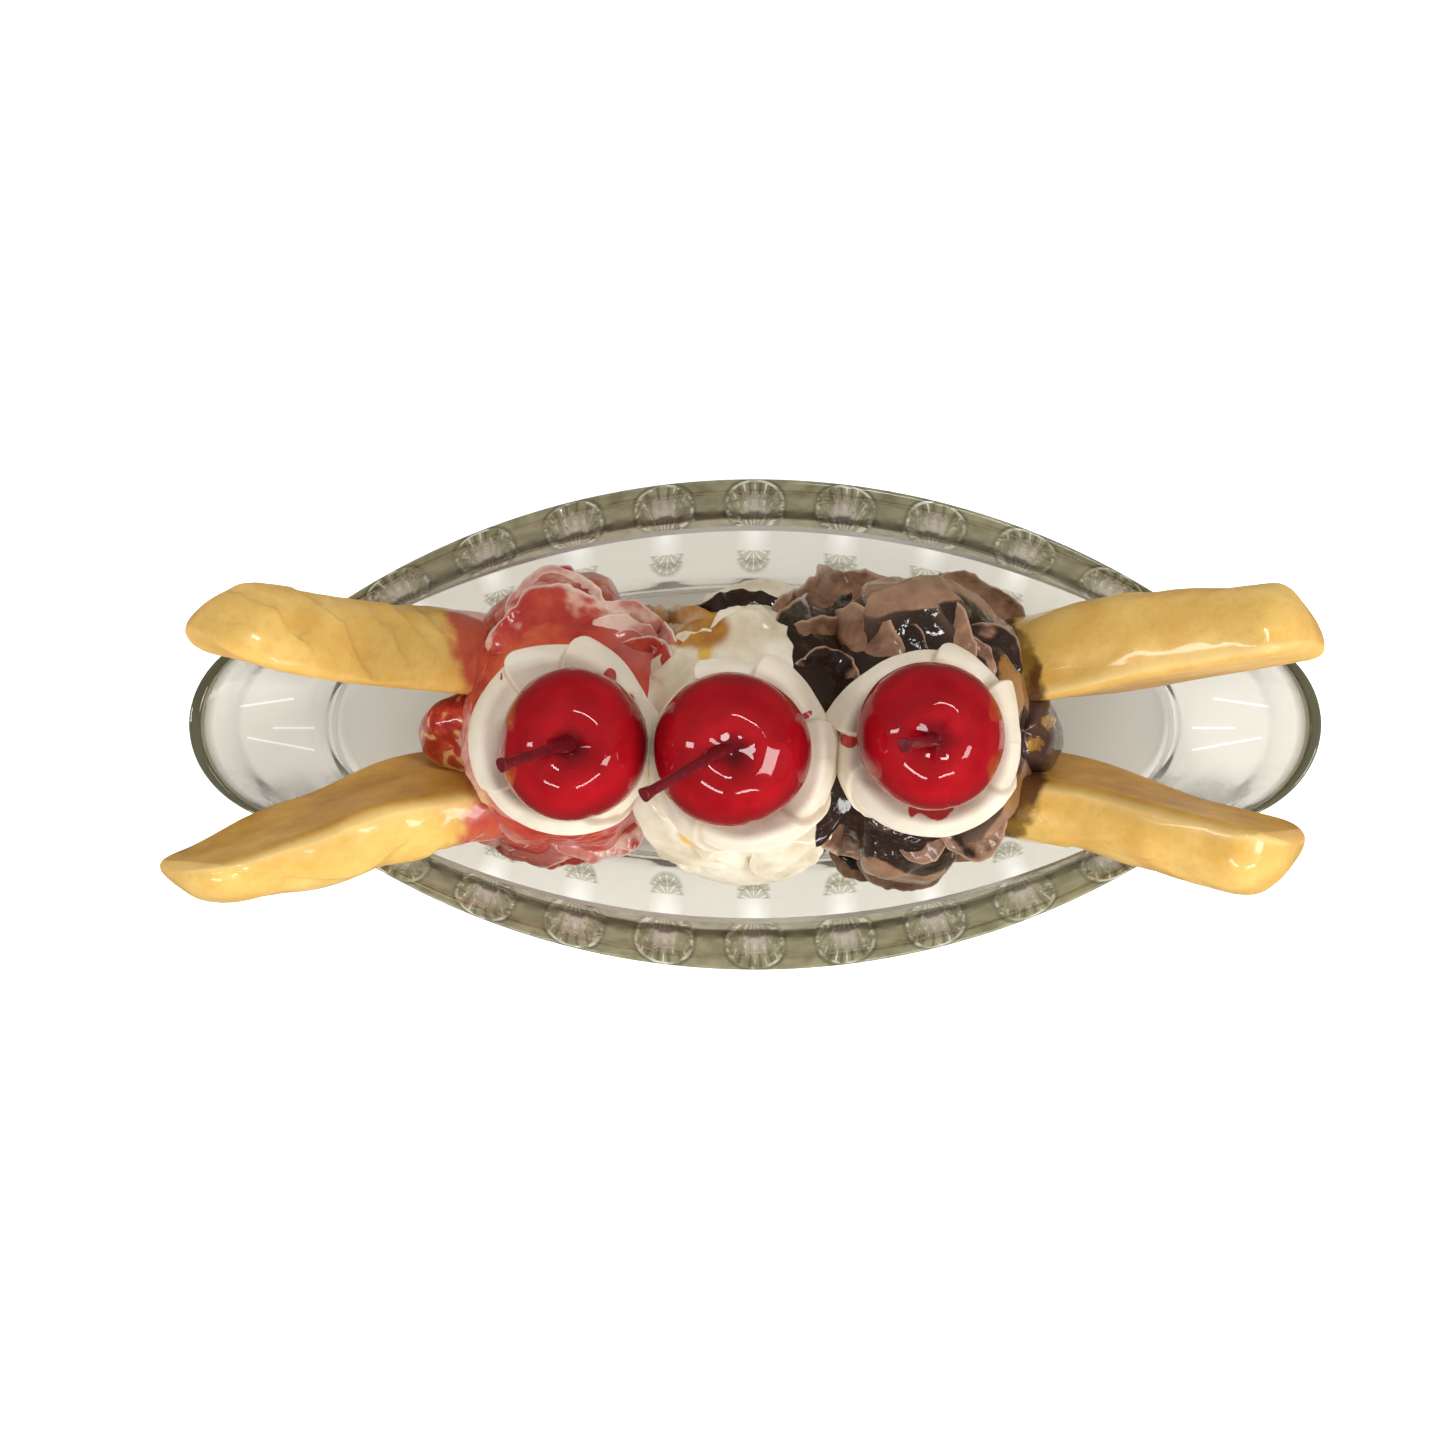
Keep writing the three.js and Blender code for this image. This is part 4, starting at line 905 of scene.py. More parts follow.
def make_banana(side, columns=288, rows=96):
    """One half: the D section swept along the middle of its cut face, then lumped and creased."""
    banana = BANANAS[side]
    out_way = banana["outward"]
    section = banana_section(rows)
    line, length = through(banana["spine"], SPINE_POINTS)
    tangents = unit(np.gradient(line, axis=0))

    def form(round_share, along_share):
        # Stations crowd toward the tips, where the half rounds off.
        share = (1 - np.cos(math.pi * along_share)) / 2 * 0.25 + 0.75 * along_share
        place = share * (len(line) - 1)
        point, along = at_places(line, place), at_places(tangents, place)
        out = unit(np.array([0, out_way, 0]) - along * (along[:, 1] * out_way)[:, None])
        up = np.cross(along, out) * out_way
        start, end = share * length, (1 - share) * length
        tall = rounded_off(start, banana["start"][0], 0.5) * rounded_off(end, banana["end"][0], 0.5)
        thick = rounded_off(start, *banana["start"][1:]) * rounded_off(end, *banana["end"][1:])
        lean = banana["lean"] * (1 - eased(55, 80, np.abs(point[:, 0])))
        swell = 0
        for middle, spread, leaning, swelling in SQUEEZES[side]:
            near = bell(point[:, 0], middle, spread)
            lean, swell = lean + leaning * near, swell + swelling * near
        station = np.round(round_share * rows).astype(int) % rows
        rise, depth = section[station, 0], section[station, 1]
        size = between(banana["thickness"][0], banana["thickness"][1], share)
        body = point + up * (rise * tall * BANANA_HEIGHT)[:, None]
        outward = (depth - 0.2) * size + swell * depth
        body += out * (lean * rise * tall + 0.2 * size + outward * thick)[:, None]
        face = 1 - eased(0.02, 0.2, depth)
        # Slow lumps from rolling and pressing the clay, finer ones drawn out along it, and creases.
        slow = lumps(body, 16, 2, 3.1) * 0.7 + lumps(body * (0.35, 1, 1), 5, 2, 7.7) * 0.35
        mark = groove(point[:, 0], depth, BANANA_MARKS[side]) * eased(-0.1, 0.15, rise)
        away = out * (depth > 0.05)[:, None] + up * rise[:, None]
        away /= np.maximum(1e-6, np.linalg.norm(away, axis=1))[:, None]
        ends = np.minimum(1, np.minimum(start, end) / 4)
        body += away * ((slow * (1 - 0.6 * face) - mark) * ends)[:, None]
        x = body[:, 0]
        x_shifted = x + 5 * (depth - 0.5)
        # The rear half shows little of its cut face, and its pale edge line fades out toward its left end.
        rear = side == "rear"
        paints = {
            "cut": face * eased(1, 6, np.minimum(start, end)) * (0.4 * eased(-30, 0, x) if rear else 1),
            "edge": 0.55 * bell(depth, 0.1, 0.07) * (rise > 0) * (eased(-60, 20, x) if rear else 1),
            "face": face,
            # Painted shade in the creases.
            "crease": eased(0.8, 1.6, mark) * 0.36,
            "berry": eased(-64, -49, x_shifted) * (x < 0) * (1 if rear else 0.8),
            "stain": (1 - eased(46, 59, x_shifted)) * (x > 0),
        }
        return body, paints

    return wrapped(f"{side}_banana_half", rows, columns, form)


# ---- Scoops ----


def on_ball(turn, lift):
    turn, lift = np.radians(turn), np.radians(lift)
    flat = np.cos(lift)
    return np.stack([flat * np.cos(turn), flat * np.sin(turn), np.sin(lift) + 0 * turn], -1)


def make_fold(turn, lift, heading, length, width, height):
    """A curled flake of ice cream with one steep edge, running along its heading."""
    centre = on_ball(turn, lift)
    east = np.array([-centre[1], centre[0], 0]) / np.hypot(centre[0], centre[1])
    north = np.cross(centre, east)
    heading = math.radians(heading)
    along = east * math.cos(heading) + north * math.sin(heading)
    return dict(
        centre=centre, along=along, across=np.cross(centre, along), length=length, width=width, height=height,
    )


def seeded_folds(scoop):
    draw = seeded(scoop["seed"])
    length, width, depth = scoop["size"]
    made = []
    for index in range(scoop["folds"]):
        turn = 360 * (index + 0.6 * draw()) / scoop["folds"]
        lift, heading, size = between(-28, 42, draw()), between(-35, 35, draw()), between(0.75, 1.25, draw())
        made.append(make_fold(turn, lift, heading, length * size, width * size, depth * size))
    return made


def small_folds(count, sizes, depth, seed):
    """Finer creases and flakes between the big folds, which the CAD solid leaves out."""
    draw = np.random.default_rng(seed)
    made = []
    for _ in range(count):
        size = draw.uniform(*sizes)
        made.append(make_fold(
            draw.uniform(0, 360), draw.uniform(-40, 44), draw.uniform(-50, 50),
            size, size * 0.38, depth * size / sizes[1],
        ))
    return made


def fold_relief(directions, radius, folds, steep=4.0):
    """Height of the folds over the ball, how near each point is to a crest, and the way it curls."""
    best = np.zeros(len(directions))
    crest = np.zeros(len(directions))
    curl = np.zeros((len(directions), 3))
    for fold in folds:
        facing = directions @ fold["centre"] > 0
        along = directions @ fold["along"] * radius / (fold["length"] / 2)
        bow = 0.35 * fold["width"] * along**2
        across = (directions @ fold["across"] * radius + bow) / fold["width"]
        ends = np.sqrt(np.maximum(0, 1 - along**2))
        slope = np.where(across < 0, (1 + across * steep).clip(0), (1 - across).clip(0))
        height = fold["height"] * ends * slope**0.85 * facing
        near = ends * bell(np.minimum(across, across * 0.6), 0, 0.16) * facing
        taller = height > best
        best = np.where(taller, height, best)
        crest = np.where(taller, near * min(1, fold["height"] / 2), crest)
        push = np.where(taller, near * fold["height"] * 0.45, 0)[:, None] * -fold["across"]
        curl = np.where(taller[:, None], push, curl)
    return best, crest, curl


def scoop_form(scoop, detail, paint):
    """The moved ball of one scoop: its folds, finer folds, ribs and ruffled skirt."""
    radius, centre = scoop["radius"], np.array(scoop["centre"], float)
    big = seeded_folds(scoop) + [make_fold(*fold) for fold in scoop["big"]]
    small = small_folds(*detail["small"])

    def form(directions):
        wander = drift(directions * radius, 9, scoop["seed"]) * 0.07
        wander += drift(directions * radius, 3, 2.0) * 0.02
        warped = unit(directions + wander)
        turn, lift = turn_and_lift(directions)
        against = [eased(0.3, 0.52, side * directions[:, 0]) for side in scoop["pressed"]]
        pressed = np.max(against or [0 * lift], axis=0)
        free = (1 - pressed) * (1 - eased(36, 50, lift))
        fold, crest, curl = fold_relief(warped, radius, big)
        fine, fine_crest, fine_curl = fold_relief(warped, radius, small)
        slow = lumps(directions * radius, 10, 3, scoop["seed"])
        rib = lumps(directions * radius * (1, 1, 3.2), 3.2, 3, 5.0)
        skirt = bell(lift, -22, 13)
        wave = 0.5 + 0.5 * np.sin(np.radians(turn * scoop["ruffles"]) + 1.2 * slow)
        ruffle = np.sin(np.radians(turn * scoop["ruffles"] * 3) + 3 * slow) * 0.35
        relief = free * (fold + fine * (1 - 0.6 * crest))
        relief += (1 - pressed) * skirt * scoop["ruffle"] * (wave + ruffle)
        relief += free * (slow * detail["slow"] + rib * detail["rib"])
        toward_end = [side * directions[:, 0] < 0 for side in scoop["pressed"]]
        long = np.where(np.any(toward_end or [np.zeros(len(lift), bool)], axis=0), SCOOP_END_SHARE, 1)
        flat = np.stack([long, np.ones(len(lift)), np.where(directions[:, 2] < 0, SCOOP_UNDERSIDE, 1)], 1)
        points = directions * (radius + relief)[:, None] + (curl + 0.7 * fine_curl) * free[:, None]
        points = points * flat + centre
        return points, paint(dict(
            points=points, height=free * fold, fine=free * fine, slow=slow, skirt=skirt,
            crest=free * np.maximum(crest, 0.6 * fine_crest),
        ))

    return form


def near_turn(turn, middle, spread):
    """A bell round a turn in degrees."""
    return bell((turn - middle + 180) % 360 - 180, 0, spread)


def patch(points, x, y, wide, deep, turn=0):
    """A soft-edged oval as seen from above: 1 in its middle and 0 outside."""
    turn = math.radians(turn)
    off = points[:, :2] - (x, y)
    along = off @ (math.cos(turn), math.sin(turn)) / wide
    across = off @ (-math.sin(turn), math.cos(turn)) / deep
    return 1 - eased(0.55, 1.15, np.hypot(along, across))


def strawberry_paint(facts):
    points, height = facts["points"], facts["height"] + facts["fine"]
    low = 1 - eased(0.3, 1.8, height)
    ridges = patch(points, -20, 16, 9, 7, -35)
    left = eased(-40, -50, points[:, 0])
    pools = 0.3 * patch(points, -33, 15, 8, 5) + 0.9 * patch(points, -20, 12, 6, 5, -30)
    return {
        "pool": 0.55 + 0.35 * low + pools - 0.25 * ridges + 0.25 * (points[:, 1] < -15),
        "warm": 0.55 * patch(points, -42, 13, 10, 8, 30) + 0.2 + 0.25 * left,
        "gold": 0.75 * eased(-46, -52, points[:, 0]) * eased(-9, -13, points[:, 1]),
        # Painted highlight on the crests.
        "crest": 0.4 * facts["crest"] + 0.12 * ridges,
    }


def vanilla_paint(facts):
    points = facts["points"]
    edge = points[:, 0] + 2.2 * facts["slow"]
    lemon = 0.42 * patch(points, -6, 15, 6, 4, 30) + 0.4 * patch(points, -13, 13, 6, 4)
    sauce = eased(-1.5, 1.5, edge - 6.5 - 5 * eased(2, -8, points[:, 1]))
    return {
        "lemon": lemon + 0.36 * (points[:, 1] < -12) + 0.4 * patch(points, -9, -22, 7, 2.6, -22),
        "amber": 0.78 * patch(points, -13, 19, 10, 6, -15) + 0.1,
        "dark": patch(points, -2, 24.5, 10, 2.4) + sauce,
        # Painted shade low between the folds of the skirt.
        "crease": 0.4 * (1 - eased(0.1, 0.7, facts["height"] + facts["fine"])) * facts["skirt"],
    }


def chocolate_paint(facts):
    height = facts["height"] + 0.8 * facts["fine"]
    gold = patch(facts["points"], 49, 9, 5, 8) + patch(facts["points"], 49, -13, 4, 5)
    # Painted highlight on the crests.
    return {"pool": 1 - 0.75 * eased(2.4, 4.2, height), "crest": 0.3 * facts["crest"], "gold": 0.8 * gold}


SCOOP_DETAIL = {
    "strawberry": (dict(small=(34, (6, 15), 1.5, 41), slow=0.6, rib=0.3), strawberry_paint),
    "vanilla": (dict(small=(26, (8, 18), 1.2, 42), slow=0.6, rib=0.15), vanilla_paint),
    "chocolate": (dict(small=(30, (8, 18), 1.8, 43), slow=0.5, rib=0.2), chocolate_paint),
}

# Curls of clay laid on each scoop: the line of each as seen from above, its width, how far its free
# edge lifts, its thickness, which way that edge faces (1 left of the line, -1 right of it), and
# what it is painted with.
CURLS = {
    "strawberry": [
        ([(-46, 21), (-40.5, 24.8), (-35, 25.2), (-29, 20.5)], 8.5, 3, 2, 1, dict(pool=0.42, crest=0.25)),
        ([(-42, 25), (-38, 27.4), (-34, 26.4)], 4.4, 1.8, 1.8, 1, dict(pool=0.85)),
        ([(-41, 23), (-37, 25.6), (-33, 24)], 3.4, 1.8, 1.6, 1, dict(pool=0.1, crest=0.5)),
        ([(-49, 15.5), (-41, 20.3), (-33.5, 20.4), (-24, 17.8)], 9, 2, 1.8, 1, dict(pool=0.6, warm=0.42)),
        ([(-33, 21), (-26, 20.5), (-20, 17.8), (-16, 14.6)], 6, 2, 1.5, 1, dict(pool=0.45, crest=0.22)),
        ([(-30, 18.2), (-24, 17.2), (-19, 14.6), (-16.6, 11.6)], 5, 1.6, 1.4, 1, dict(pool=0.38, crest=0.25)),
        ([(-26, 16), (-21, 14.4), (-18, 11.6)], 3.6, 1.4, 1.3, 1, dict(pool=0.7, crest=0.1)),
        ([(-24.5, 14.6), (-19.6, 13.6), (-16.2, 9.4)], 5.6, 1.4, 1.4, 1, dict(pool=1.1)),
        ([(-55.5, -18.8), (-50, -21), (-44, -22)], 5, 2, 1.8, -1, dict(pool=0.6, crest=0.2)),
        ([(-51, -21.8), (-43, -24), (-35, -24.4)], 5, 2.2, 1.8, -1, dict(pool=0.7, crest=0.15)),
        ([(-46, -24.2), (-39, -26), (-32, -25.6)], 3.6, 1.4, 1.6, -1, dict(pool=0.8)),
        ([(-38, -23), (-30, -23.8), (-23, -21)], 5, 2, 1.7, -1, dict(pool=0.55, crest=0.2)),
        ([(-31, -22), (-24, -21), (-20, -17.5)], 4, 1.6, 1.6, -1, dict(pool=0.4)),
    ],
    "vanilla": [
        ([(-9, 24.5), (-2, 25.6), (6, 25), (12, 22.6)], 4.5, 1.2, 1.8, 1, {}),
        ([(-13, 21.8), (-7, 21.6), (-2, 23), (6, 22)], 4.4, 1.6, 1.6, 1, dict(dark=1.0)),
        ([(-25, 17), (-18, 19.4), (-9, 19.4)], 9, 1.4, 1.4, 1, dict(amber=0.68, lemon=0.4)),
        ([(-15, 15.4), (-10, 15.4), (-5, 16.6)], 4, 1, 1.2, 1, dict(lemon=0.5)),
        ([(-8, 16.6), (-2, 17.8), (3.4, 17)], 7.5, 2, 1.8, 1, dict(lemon=0.2)),
        ([(-19, -19), (-13, -24), (-6, -26.5), (0.5, -26.3)], 6.5, 2.2, 2, -1, dict(lemon=0.38)),
        ([(-14, -20), (-6, -23.5), (2, -24)], 5, 1.8, 1.8, -1, dict(lemon=0.5)),
        ([(0.5, -22.5), (3, -25), (6.2, -26)], 7, 2.6, 2.4, -1, dict(crease=0.1)),
        ([(4, -25), (9, -23.5), (13, -18)], 5.5, 2, 1.8, -1, dict(lemon=0.3)),
    ],
    "chocolate": [
        ([(5, 17.4), (11, 20), (19, 23), (27, 23)], 12, 1.2, 2.6, 1, dict(pool=1)),
        ([(4.5, 21), (11, 23.4), (18, 25.6), (29, 22)], 12, 3.6, 1.8, 1, dict(pool=-0.15)),
        ([(17, 20.6), (24, 21.6), (31, 19.4)], 5.5, 2.4, 1.6, 1, dict(pool=0.25)),
        ([(8, 17), (15.5, 17), (25, 12.6)], 10, 2.6, 1.8, 1, dict(pool=0.1)),
        ([(8, 10.5), (13.5, 11.5), (18, 7)], 5, 1.6, 1.5, 1, dict(pool=0.55)),
        ([(28.5, 21.4), (35, 24.2), (43.5, 23.4), (53, 17)], 9, 3, 2.2, 1, dict(pool=0.12)),
        ([(32, 25), (37, 27), (43.5, 25.2)], 4.4, 1.4, 1.8, 1, dict(pool=0.1)),
        ([(25.5, 18.6), (31, 20.4), (36, 18.4), (39, 12)], 6.4, 2.4, 1.8, 1, dict(pool=0.1)),
        ([(21, 16.6), (27, 17), (31, 13.6)], 4.6, 1.7, 1.5, 1, dict(pool=0.6)),
        ([(40, 17.4), (45, 15.6), (48.6, 9.6)], 5.4, 1.8, 1.6, 1, dict(pool=0.6)),
        ([(37, 14.6), (41, 13.6), (43.6, 9.6)], 4, 1.6, 1.5, 1, dict(pool=0.3)),
        ([(12.6, -17.2), (18, -21.6), (24, -24.6)], 7.5, 2.8, 2, -1, dict(pool=0.2)),
        ([(20.6, -24.4), (25.6, -28.2), (31, -28.4), (36.4, -24.2)], 7.5, 2.4, 2.2, -1, dict(pool=-0.1)),
        ([(26.5, -20.6), (31, -22.8), (35.6, -21)], 5, 2, 1.7, -1, dict(pool=0.1)),
        ([(35.6, -20), (41, -21.4), (46, -16.6)], 7.5, 2.8, 1.8, -1, dict(pool=0.25)),
        ([(37, -25.6), (41.5, -24.2), (45.6, -20.2)], 4, 1.6, 1.6, -1, dict(pool=0.2, gold=0.3)),
        ([(16, -26), (20, -28.6), (24.5, -29.4)], 3.6, 1.3, 1.6, -1, dict(pool=0.3)),
    ],
}
# How deep a curl's root sinks in the ball, how far its ends taper off past its line, and how many
# points its line has.
SINK, RUN_OUT, CURL_POINTS = 1.6, 0.22, 400


def ball_surface(x, y):
    """Height of the scoops at a place seen from above, and which way their surface faces there."""
    heights, facing = [], []
    for scoop in SCOOPS.values():
        radius, centre = scoop["radius"], scoop["centre"]
        off = np.column_stack([x - centre[0], y - centre[1]])
        away = np.linalg.norm(off, axis=1)
        up = np.sqrt(np.maximum(0, radius**2 - away**2)) - 1.3 * np.maximum(0, away - radius + 1)
        heights.append(centre[2] + up)
        facing.append(unit(np.column_stack([off, np.maximum(up, 0.5 * radius)])))
    heights = np.array(heights)
    share = np.exp((heights - heights.max(axis=0)) / 1.5)
    share /= share.sum(axis=0)
    normal = sum(part[:, None] * way for part, way in zip(share, facing))
    return (share * heights).sum(axis=0), unit(normal)


def make_curl(scoop, index, spine, width, rise, thick, way, look, columns=32, rows=100):
    """A strip sunk in the ball along one side and lifted along the other, torn at its free edge."""
    seed = scoop["seed"] + 5.3 * index
    spine = np.array(spine, float)
    before, after = [spine[end] + RUN_OUT * (spine[end] - spine[near]) for end, near in ((0, 1), (-1, -2))]
    line, length = through([(x, y, 0) for x, y in (before, *spine, after)], CURL_POINTS)
    tangents = unit(np.gradient(line, axis=0))

    def form(round_share, along_share):
        place = along_share * (len(line) - 1)
        flat, along = at_places(line[:, :2], place), at_places(tangents, place)
        level, normal = ball_surface(*flat.T)
        point = np.column_stack([flat, level])
        across = unit(np.cross(normal, along) * way)
        side = 2 * along_share - 1
        taper = (1 - np.abs(side) ** 2.2).clip(0) ** 0.7
        on_top = round_share <= 0.5
        share = 0.5 - 0.5 * np.cos(math.pi * np.where(on_top, 2 * round_share, 2 - 2 * round_share))
        key = np.column_stack([side * length / 2, np.full(len(side), seed), np.zeros(len(side))])
        torn = 0.34 * lumps(key, 7, 1, 1.3) + 0.14 * lumps(key, 2.2, 2, 4.1)
        reach = (share + torn * eased(0.35, 1, share) - 0.42) * width * (0.25 + 0.75 * taper)
        body = (1 - np.abs(2 * share - 1) ** 5).clip(0) ** 0.5
        wave = lumps(np.column_stack([side * length / 2, share * width, np.full(len(side), seed)]), 5, 3, 2.2)
        height = taper * (rise * share**1.4 + 1.1 * wave * share)
        height = height - SINK * (1 - share) ** 2 - 0.8 * (1 - taper)
        height += np.where(on_top, 0.5, -0.5) * thick * body * (0.35 + 0.65 * taper) * (1.1 - 0.6 * share)
        points = point + across * reach[:, None] + normal * height[:, None]
        points += drift(points, 2.2, seed) * 0.16
        paints = {name: np.full(len(share), float(value)) for name, value in look.items()}
        # A painted highlight along the free edge.
        paints["crest"] = paints.get("crest", 0) + 0.85 * eased(0.84, 0.98, share)
        paints["pool"] = paints.get("pool", 0) + 0.4 * (1 - eased(0.1, 0.45, share)) + 0.4 * wave
        return points, paints

    return wrapped(f"curl_{index}", columns, rows, form)


def make_scoop(flavour):
    """The ball with its curls fixed on."""
    detail, paint = SCOOP_DETAIL[flavour]
    scoop = SCOOPS[flavour]
    piece = ball(f"{flavour}_ball", 7, scoop_form(scoop, detail, paint))
    curls = [make_curl(scoop, index, *curl) for index, curl in enumerate(CURLS[flavour])]
    only(piece)
    for curl in curls:
        curl.select_set(True)
    bpy.ops.object.join()
    return piece


# ---- Cream, cherries, stems and sauce ----

CREAM_PROFILE = [
    (0.0, -0.98), (0.4, -0.98), (0.72, -0.95), (0.93, -0.55), (1.0, -0.05), (0.99, 0.4), (0.93, 0.78),
    (0.84, 0.97), (0.72, 0.9), (0.4, 0.75), (0.0, 0.7),
]
# Petals of each swirl: where the free edge is, how many degrees the petal takes to rise to it, how
# far it stands out in millimetres, and how far it winds up the swirl.
PETALS = {
    "left": [
        (78, 45, 1.9, 30), (122, 30, 1.3, 20), (20, 50, 1.0, 45), (300, 70, 1.0, -60), (205, 60, 0.6, 50),
    ],
    "middle": [
        (74, 45, 2.5, 25), (116, 40, 2.1, 20), (15, 35, 1.3, 40), (245, 50, 1.0, -40), (322, 60, 1.2, -50),
    ],
    "right": [
        (80, 50, 1.7, 25), (38, 28, 1.9, 20), (168, 40, 2.4, 15), (330, 60, 0.8, -40), (215, 60, 0.8, -60),
    ],
}
# Berry glaze on each swirl: turn, spread, how far up its middle is, and how much.
SMEARS = {
    "left": [(38, 20, 0.8, 0.95), (20, 9, 0.77, 0.9), (52, 5, 0.77, 1.0), (122, 5, 0.7, 0.7)],
    "middle": [(122, 8, 0.76, 0.6), (34, 7, 0.77, 0.9), (225, 10, 0.5, 0.4)],
    "right": [(178, 7, 0.74, 1), (278, 9, 0.83, 1.1), (264, 8, 0.8, 1)],
}


def make_cream(place, columns=480, rows=96):
    """A piped swirl: a smooth collar with a few petals that overlap, each ending in a free edge, and
    fine drag lines round its front."""
    serving = SERVINGS[place]
    profile, _ = through(CREAM_PROFILE, rows + 1)
    centre = np.array(serving["cream"], float)
    seed = serving["turn"] / 50

    def form(round_share, up_share):
        station = np.round(up_share * rows).astype(int)
        reach, rise = profile[station, 0].clip(0), profile[station, 1]
        angle = 2 * math.pi * round_share
        turn = 360 * round_share
        ring = np.column_stack([np.cos(angle), np.sin(angle), 0.4 * rise]) * CREAM_RADIUS
        wobble = lumps(ring, 12, 2, seed) * 0.4
        climb = np.interp(up_share, (0.2, 0.85), (0, 1))
        stand, edge = np.zeros(len(turn)), np.zeros(len(turn))
        for start, length, high, twist in PETALS[place]:
            behind = (start + twist * (climb - 0.6) + 6 * wobble - turn + 180) % 360 - 180
            free = np.where(behind > 0, (1 - behind / length).clip(0) ** 1.5, (1 + behind / 3.5).clip(0))
            stand = np.maximum(stand, high * free)
            edge = np.maximum(edge, bell(behind, -3, 1.6) * high)
        drag = (2.6 * climb + turn / 360 * 1.6 + 0.3 * wobble) % 1
        front = near_turn(turn, 270, 75) * eased(0.15, 0.4, climb) * (1 - eased(0.8, 1, climb))
        groove_depth = 0.5 * front * np.where(drag < 0.85, drag / 0.85, (1 - drag) / 0.15)
        hold = reach * eased(-0.9, -0.3, rise)
        radius = CREAM_RADIUS * reach * (0.965 + 0.04 * wobble) + hold * (stand + groove_depth)
        lift = CREAM_HALF_HEIGHT * rise + eased(0.3, 0.8, reach) * (0.9 * stand + 0.5 * wobble + groove_depth)
        points = np.column_stack([radius * np.cos(angle), radius * np.sin(angle), lift]) + centre
        points += drift(points, 3, seed) * 0.07
        inner = eased(0.82, 0.97, up_share)
        berry = 0.45 * inner
        for middle, spread, high, much in SMEARS[place]:
            berry += much * near_turn(turn, middle + 60 * wobble, spread) * bell(up_share, high, 0.06)
        # Painted shade under the free edges of the petals and inside the top of the swirl.
        return points, {"crease": (0.75 * edge.clip(0, 1) + 0.4 * inner).clip(0, 1), "berry": berry}

    return wrapped(f"{place}_swirl", columns, rows, form)


def make_cherry(place, columns=192, rows=96):
    """A round cherry with a dimple at its stem, slightly uneven, with a moulding seam at its front."""
    serving = SERVINGS[place]
    centre, radius = np.array(serving["cherry"], float), serving["radius"]
    seed = radius * 7.3

    def form(round_share, up_share):
        angle, lift = 2 * math.pi * round_share, math.pi * (up_share - 0.5)
        reach = np.where((up_share > 0) & (up_share < 1), np.cos(lift), 0)
        direction = np.stack([reach * np.cos(angle), reach * np.sin(angle), np.sin(lift)], 1)
        uneven = 1 + 0.014 * np.cos(2 * angle + seed) * reach + 0.01 * np.cos(3 * angle + 2 * seed) * reach
        away = reach * radius
        dimple = serving["dimple"] * bell(away, 0, 3.9) * (lift > 0)
        shoulder = 0.3 * bell(away, 6, 2.2) * (lift > 0)
        pucker = serving["pucker"] * np.cos(6 * angle + seed) * bell(away, 4.2, 1.8) * (lift > 0)
        points = direction * (radius * uneven)[:, None]
        points += direction * (lumps(points, 9, 2, seed) * 0.22)[:, None]
        points[:, 2] += shoulder + pucker - dimple
        # A flat left where the mould was poured: the points past it are drawn back to a plane.
        flat_way = on_ball(*serving["flat"][:2])
        past = (points @ flat_way - radius * serving["flat"][2]).clip(0)
        points -= flat_way * (0.6 * past)[:, None]
        seam = bell(np.degrees(angle), 285, 3) * bell(up_share, 0.62, 0.13)
        points -= direction * (0.3 * seam)[:, None]
        # Painted shade in the dimple and round the widest part.
        dark = 0.26 * serving["dimple"] * (1 - eased(1.2, 4, away)) * (lift > 0)
        return points + centre, {"dimple": dark, "girth": 0.7 * eased(0.74, 0.99, reach)}

    return wrapped(f"{place}_resin_cherry", columns, rows, form)


STEM_RADIUS = 1.05


def make_stem(place, columns=28, rows=64):
    """A stem that grows out of the dimple, bows over and is thicker at both ends."""
    base, tip = (np.array(p, float) for p in SERVINGS[place]["stem"])
    middle = between(base, tip, 0.45) + (0, 0, 3)

    def form(round_share, up_share):
        share = np.clip((up_share - 0.06) / 0.88, 0, 1)
        s = share[:, None]
        point = base * (1 - s) ** 2 + middle * 2 * s * (1 - s) + tip * s**2
        along = unit((middle - base) * (1 - s) + (tip - middle) * s)
        side = unit(np.cross((0, 1, 0), along))
        other = np.cross(along, side)
        cap = np.sqrt(np.clip(np.minimum(up_share, 1 - up_share) / 0.06, 0, 1))
        flare = 0.7 * (1 - eased(0, 0.3, share)) + 0.35 * eased(0.88, 1, share) - 0.12
        angle = 2 * math.pi * round_share
        radius = STEM_RADIUS * (1 + flare) * cap * (1 + 0.05 * np.cos(3 * angle + 5 * share))
        points = point + side * (radius * np.cos(angle))[:, None] + other * (radius * np.sin(angle))[:, None]
        return points, {}

    return wrapped(f"{place}_cherry_stem", columns, rows, form)


SAUCES = {
    "strawberry": dict(centre=(-52, -1.5, 41), reach=(12, 9.6, 13), seed=5),
    "chocolate": dict(centre=(50.5, -1.2, 41), reach=(9, 9, 13), seed=6),
}
# Gold-brown bits in the chocolate sauce: x, y and half size.
GOLD_BITS = ((55.6, 0.6, 2), (53, -3.8, 2.4))


def make_sauce(flavour):
    """A lump of sauce that has run down between the banana halves."""
    sauce = SAUCES[flavour]
    phase = seeded(sauce["seed"])() * 360

    def form(directions):
        turn, lift = turn_and_lift(directions)
        wave = 1 + 0.07 * np.sin(np.radians(3 * turn + 2 * lift + phase))
        wave += 0.07 * lumps(directions * 10, 7, 2, sauce["seed"])
        points = directions * wave[:, None] * sauce["reach"] + sauce["centre"]
        bits = [patch(points, x, y, size, 0.75 * size) for x, y, size in GOLD_BITS]
        return points, {"gold": np.max(bits, axis=0)}

    return ball(f"{flavour}_sauce_run", 6, form)


# ---- The whole piece ----


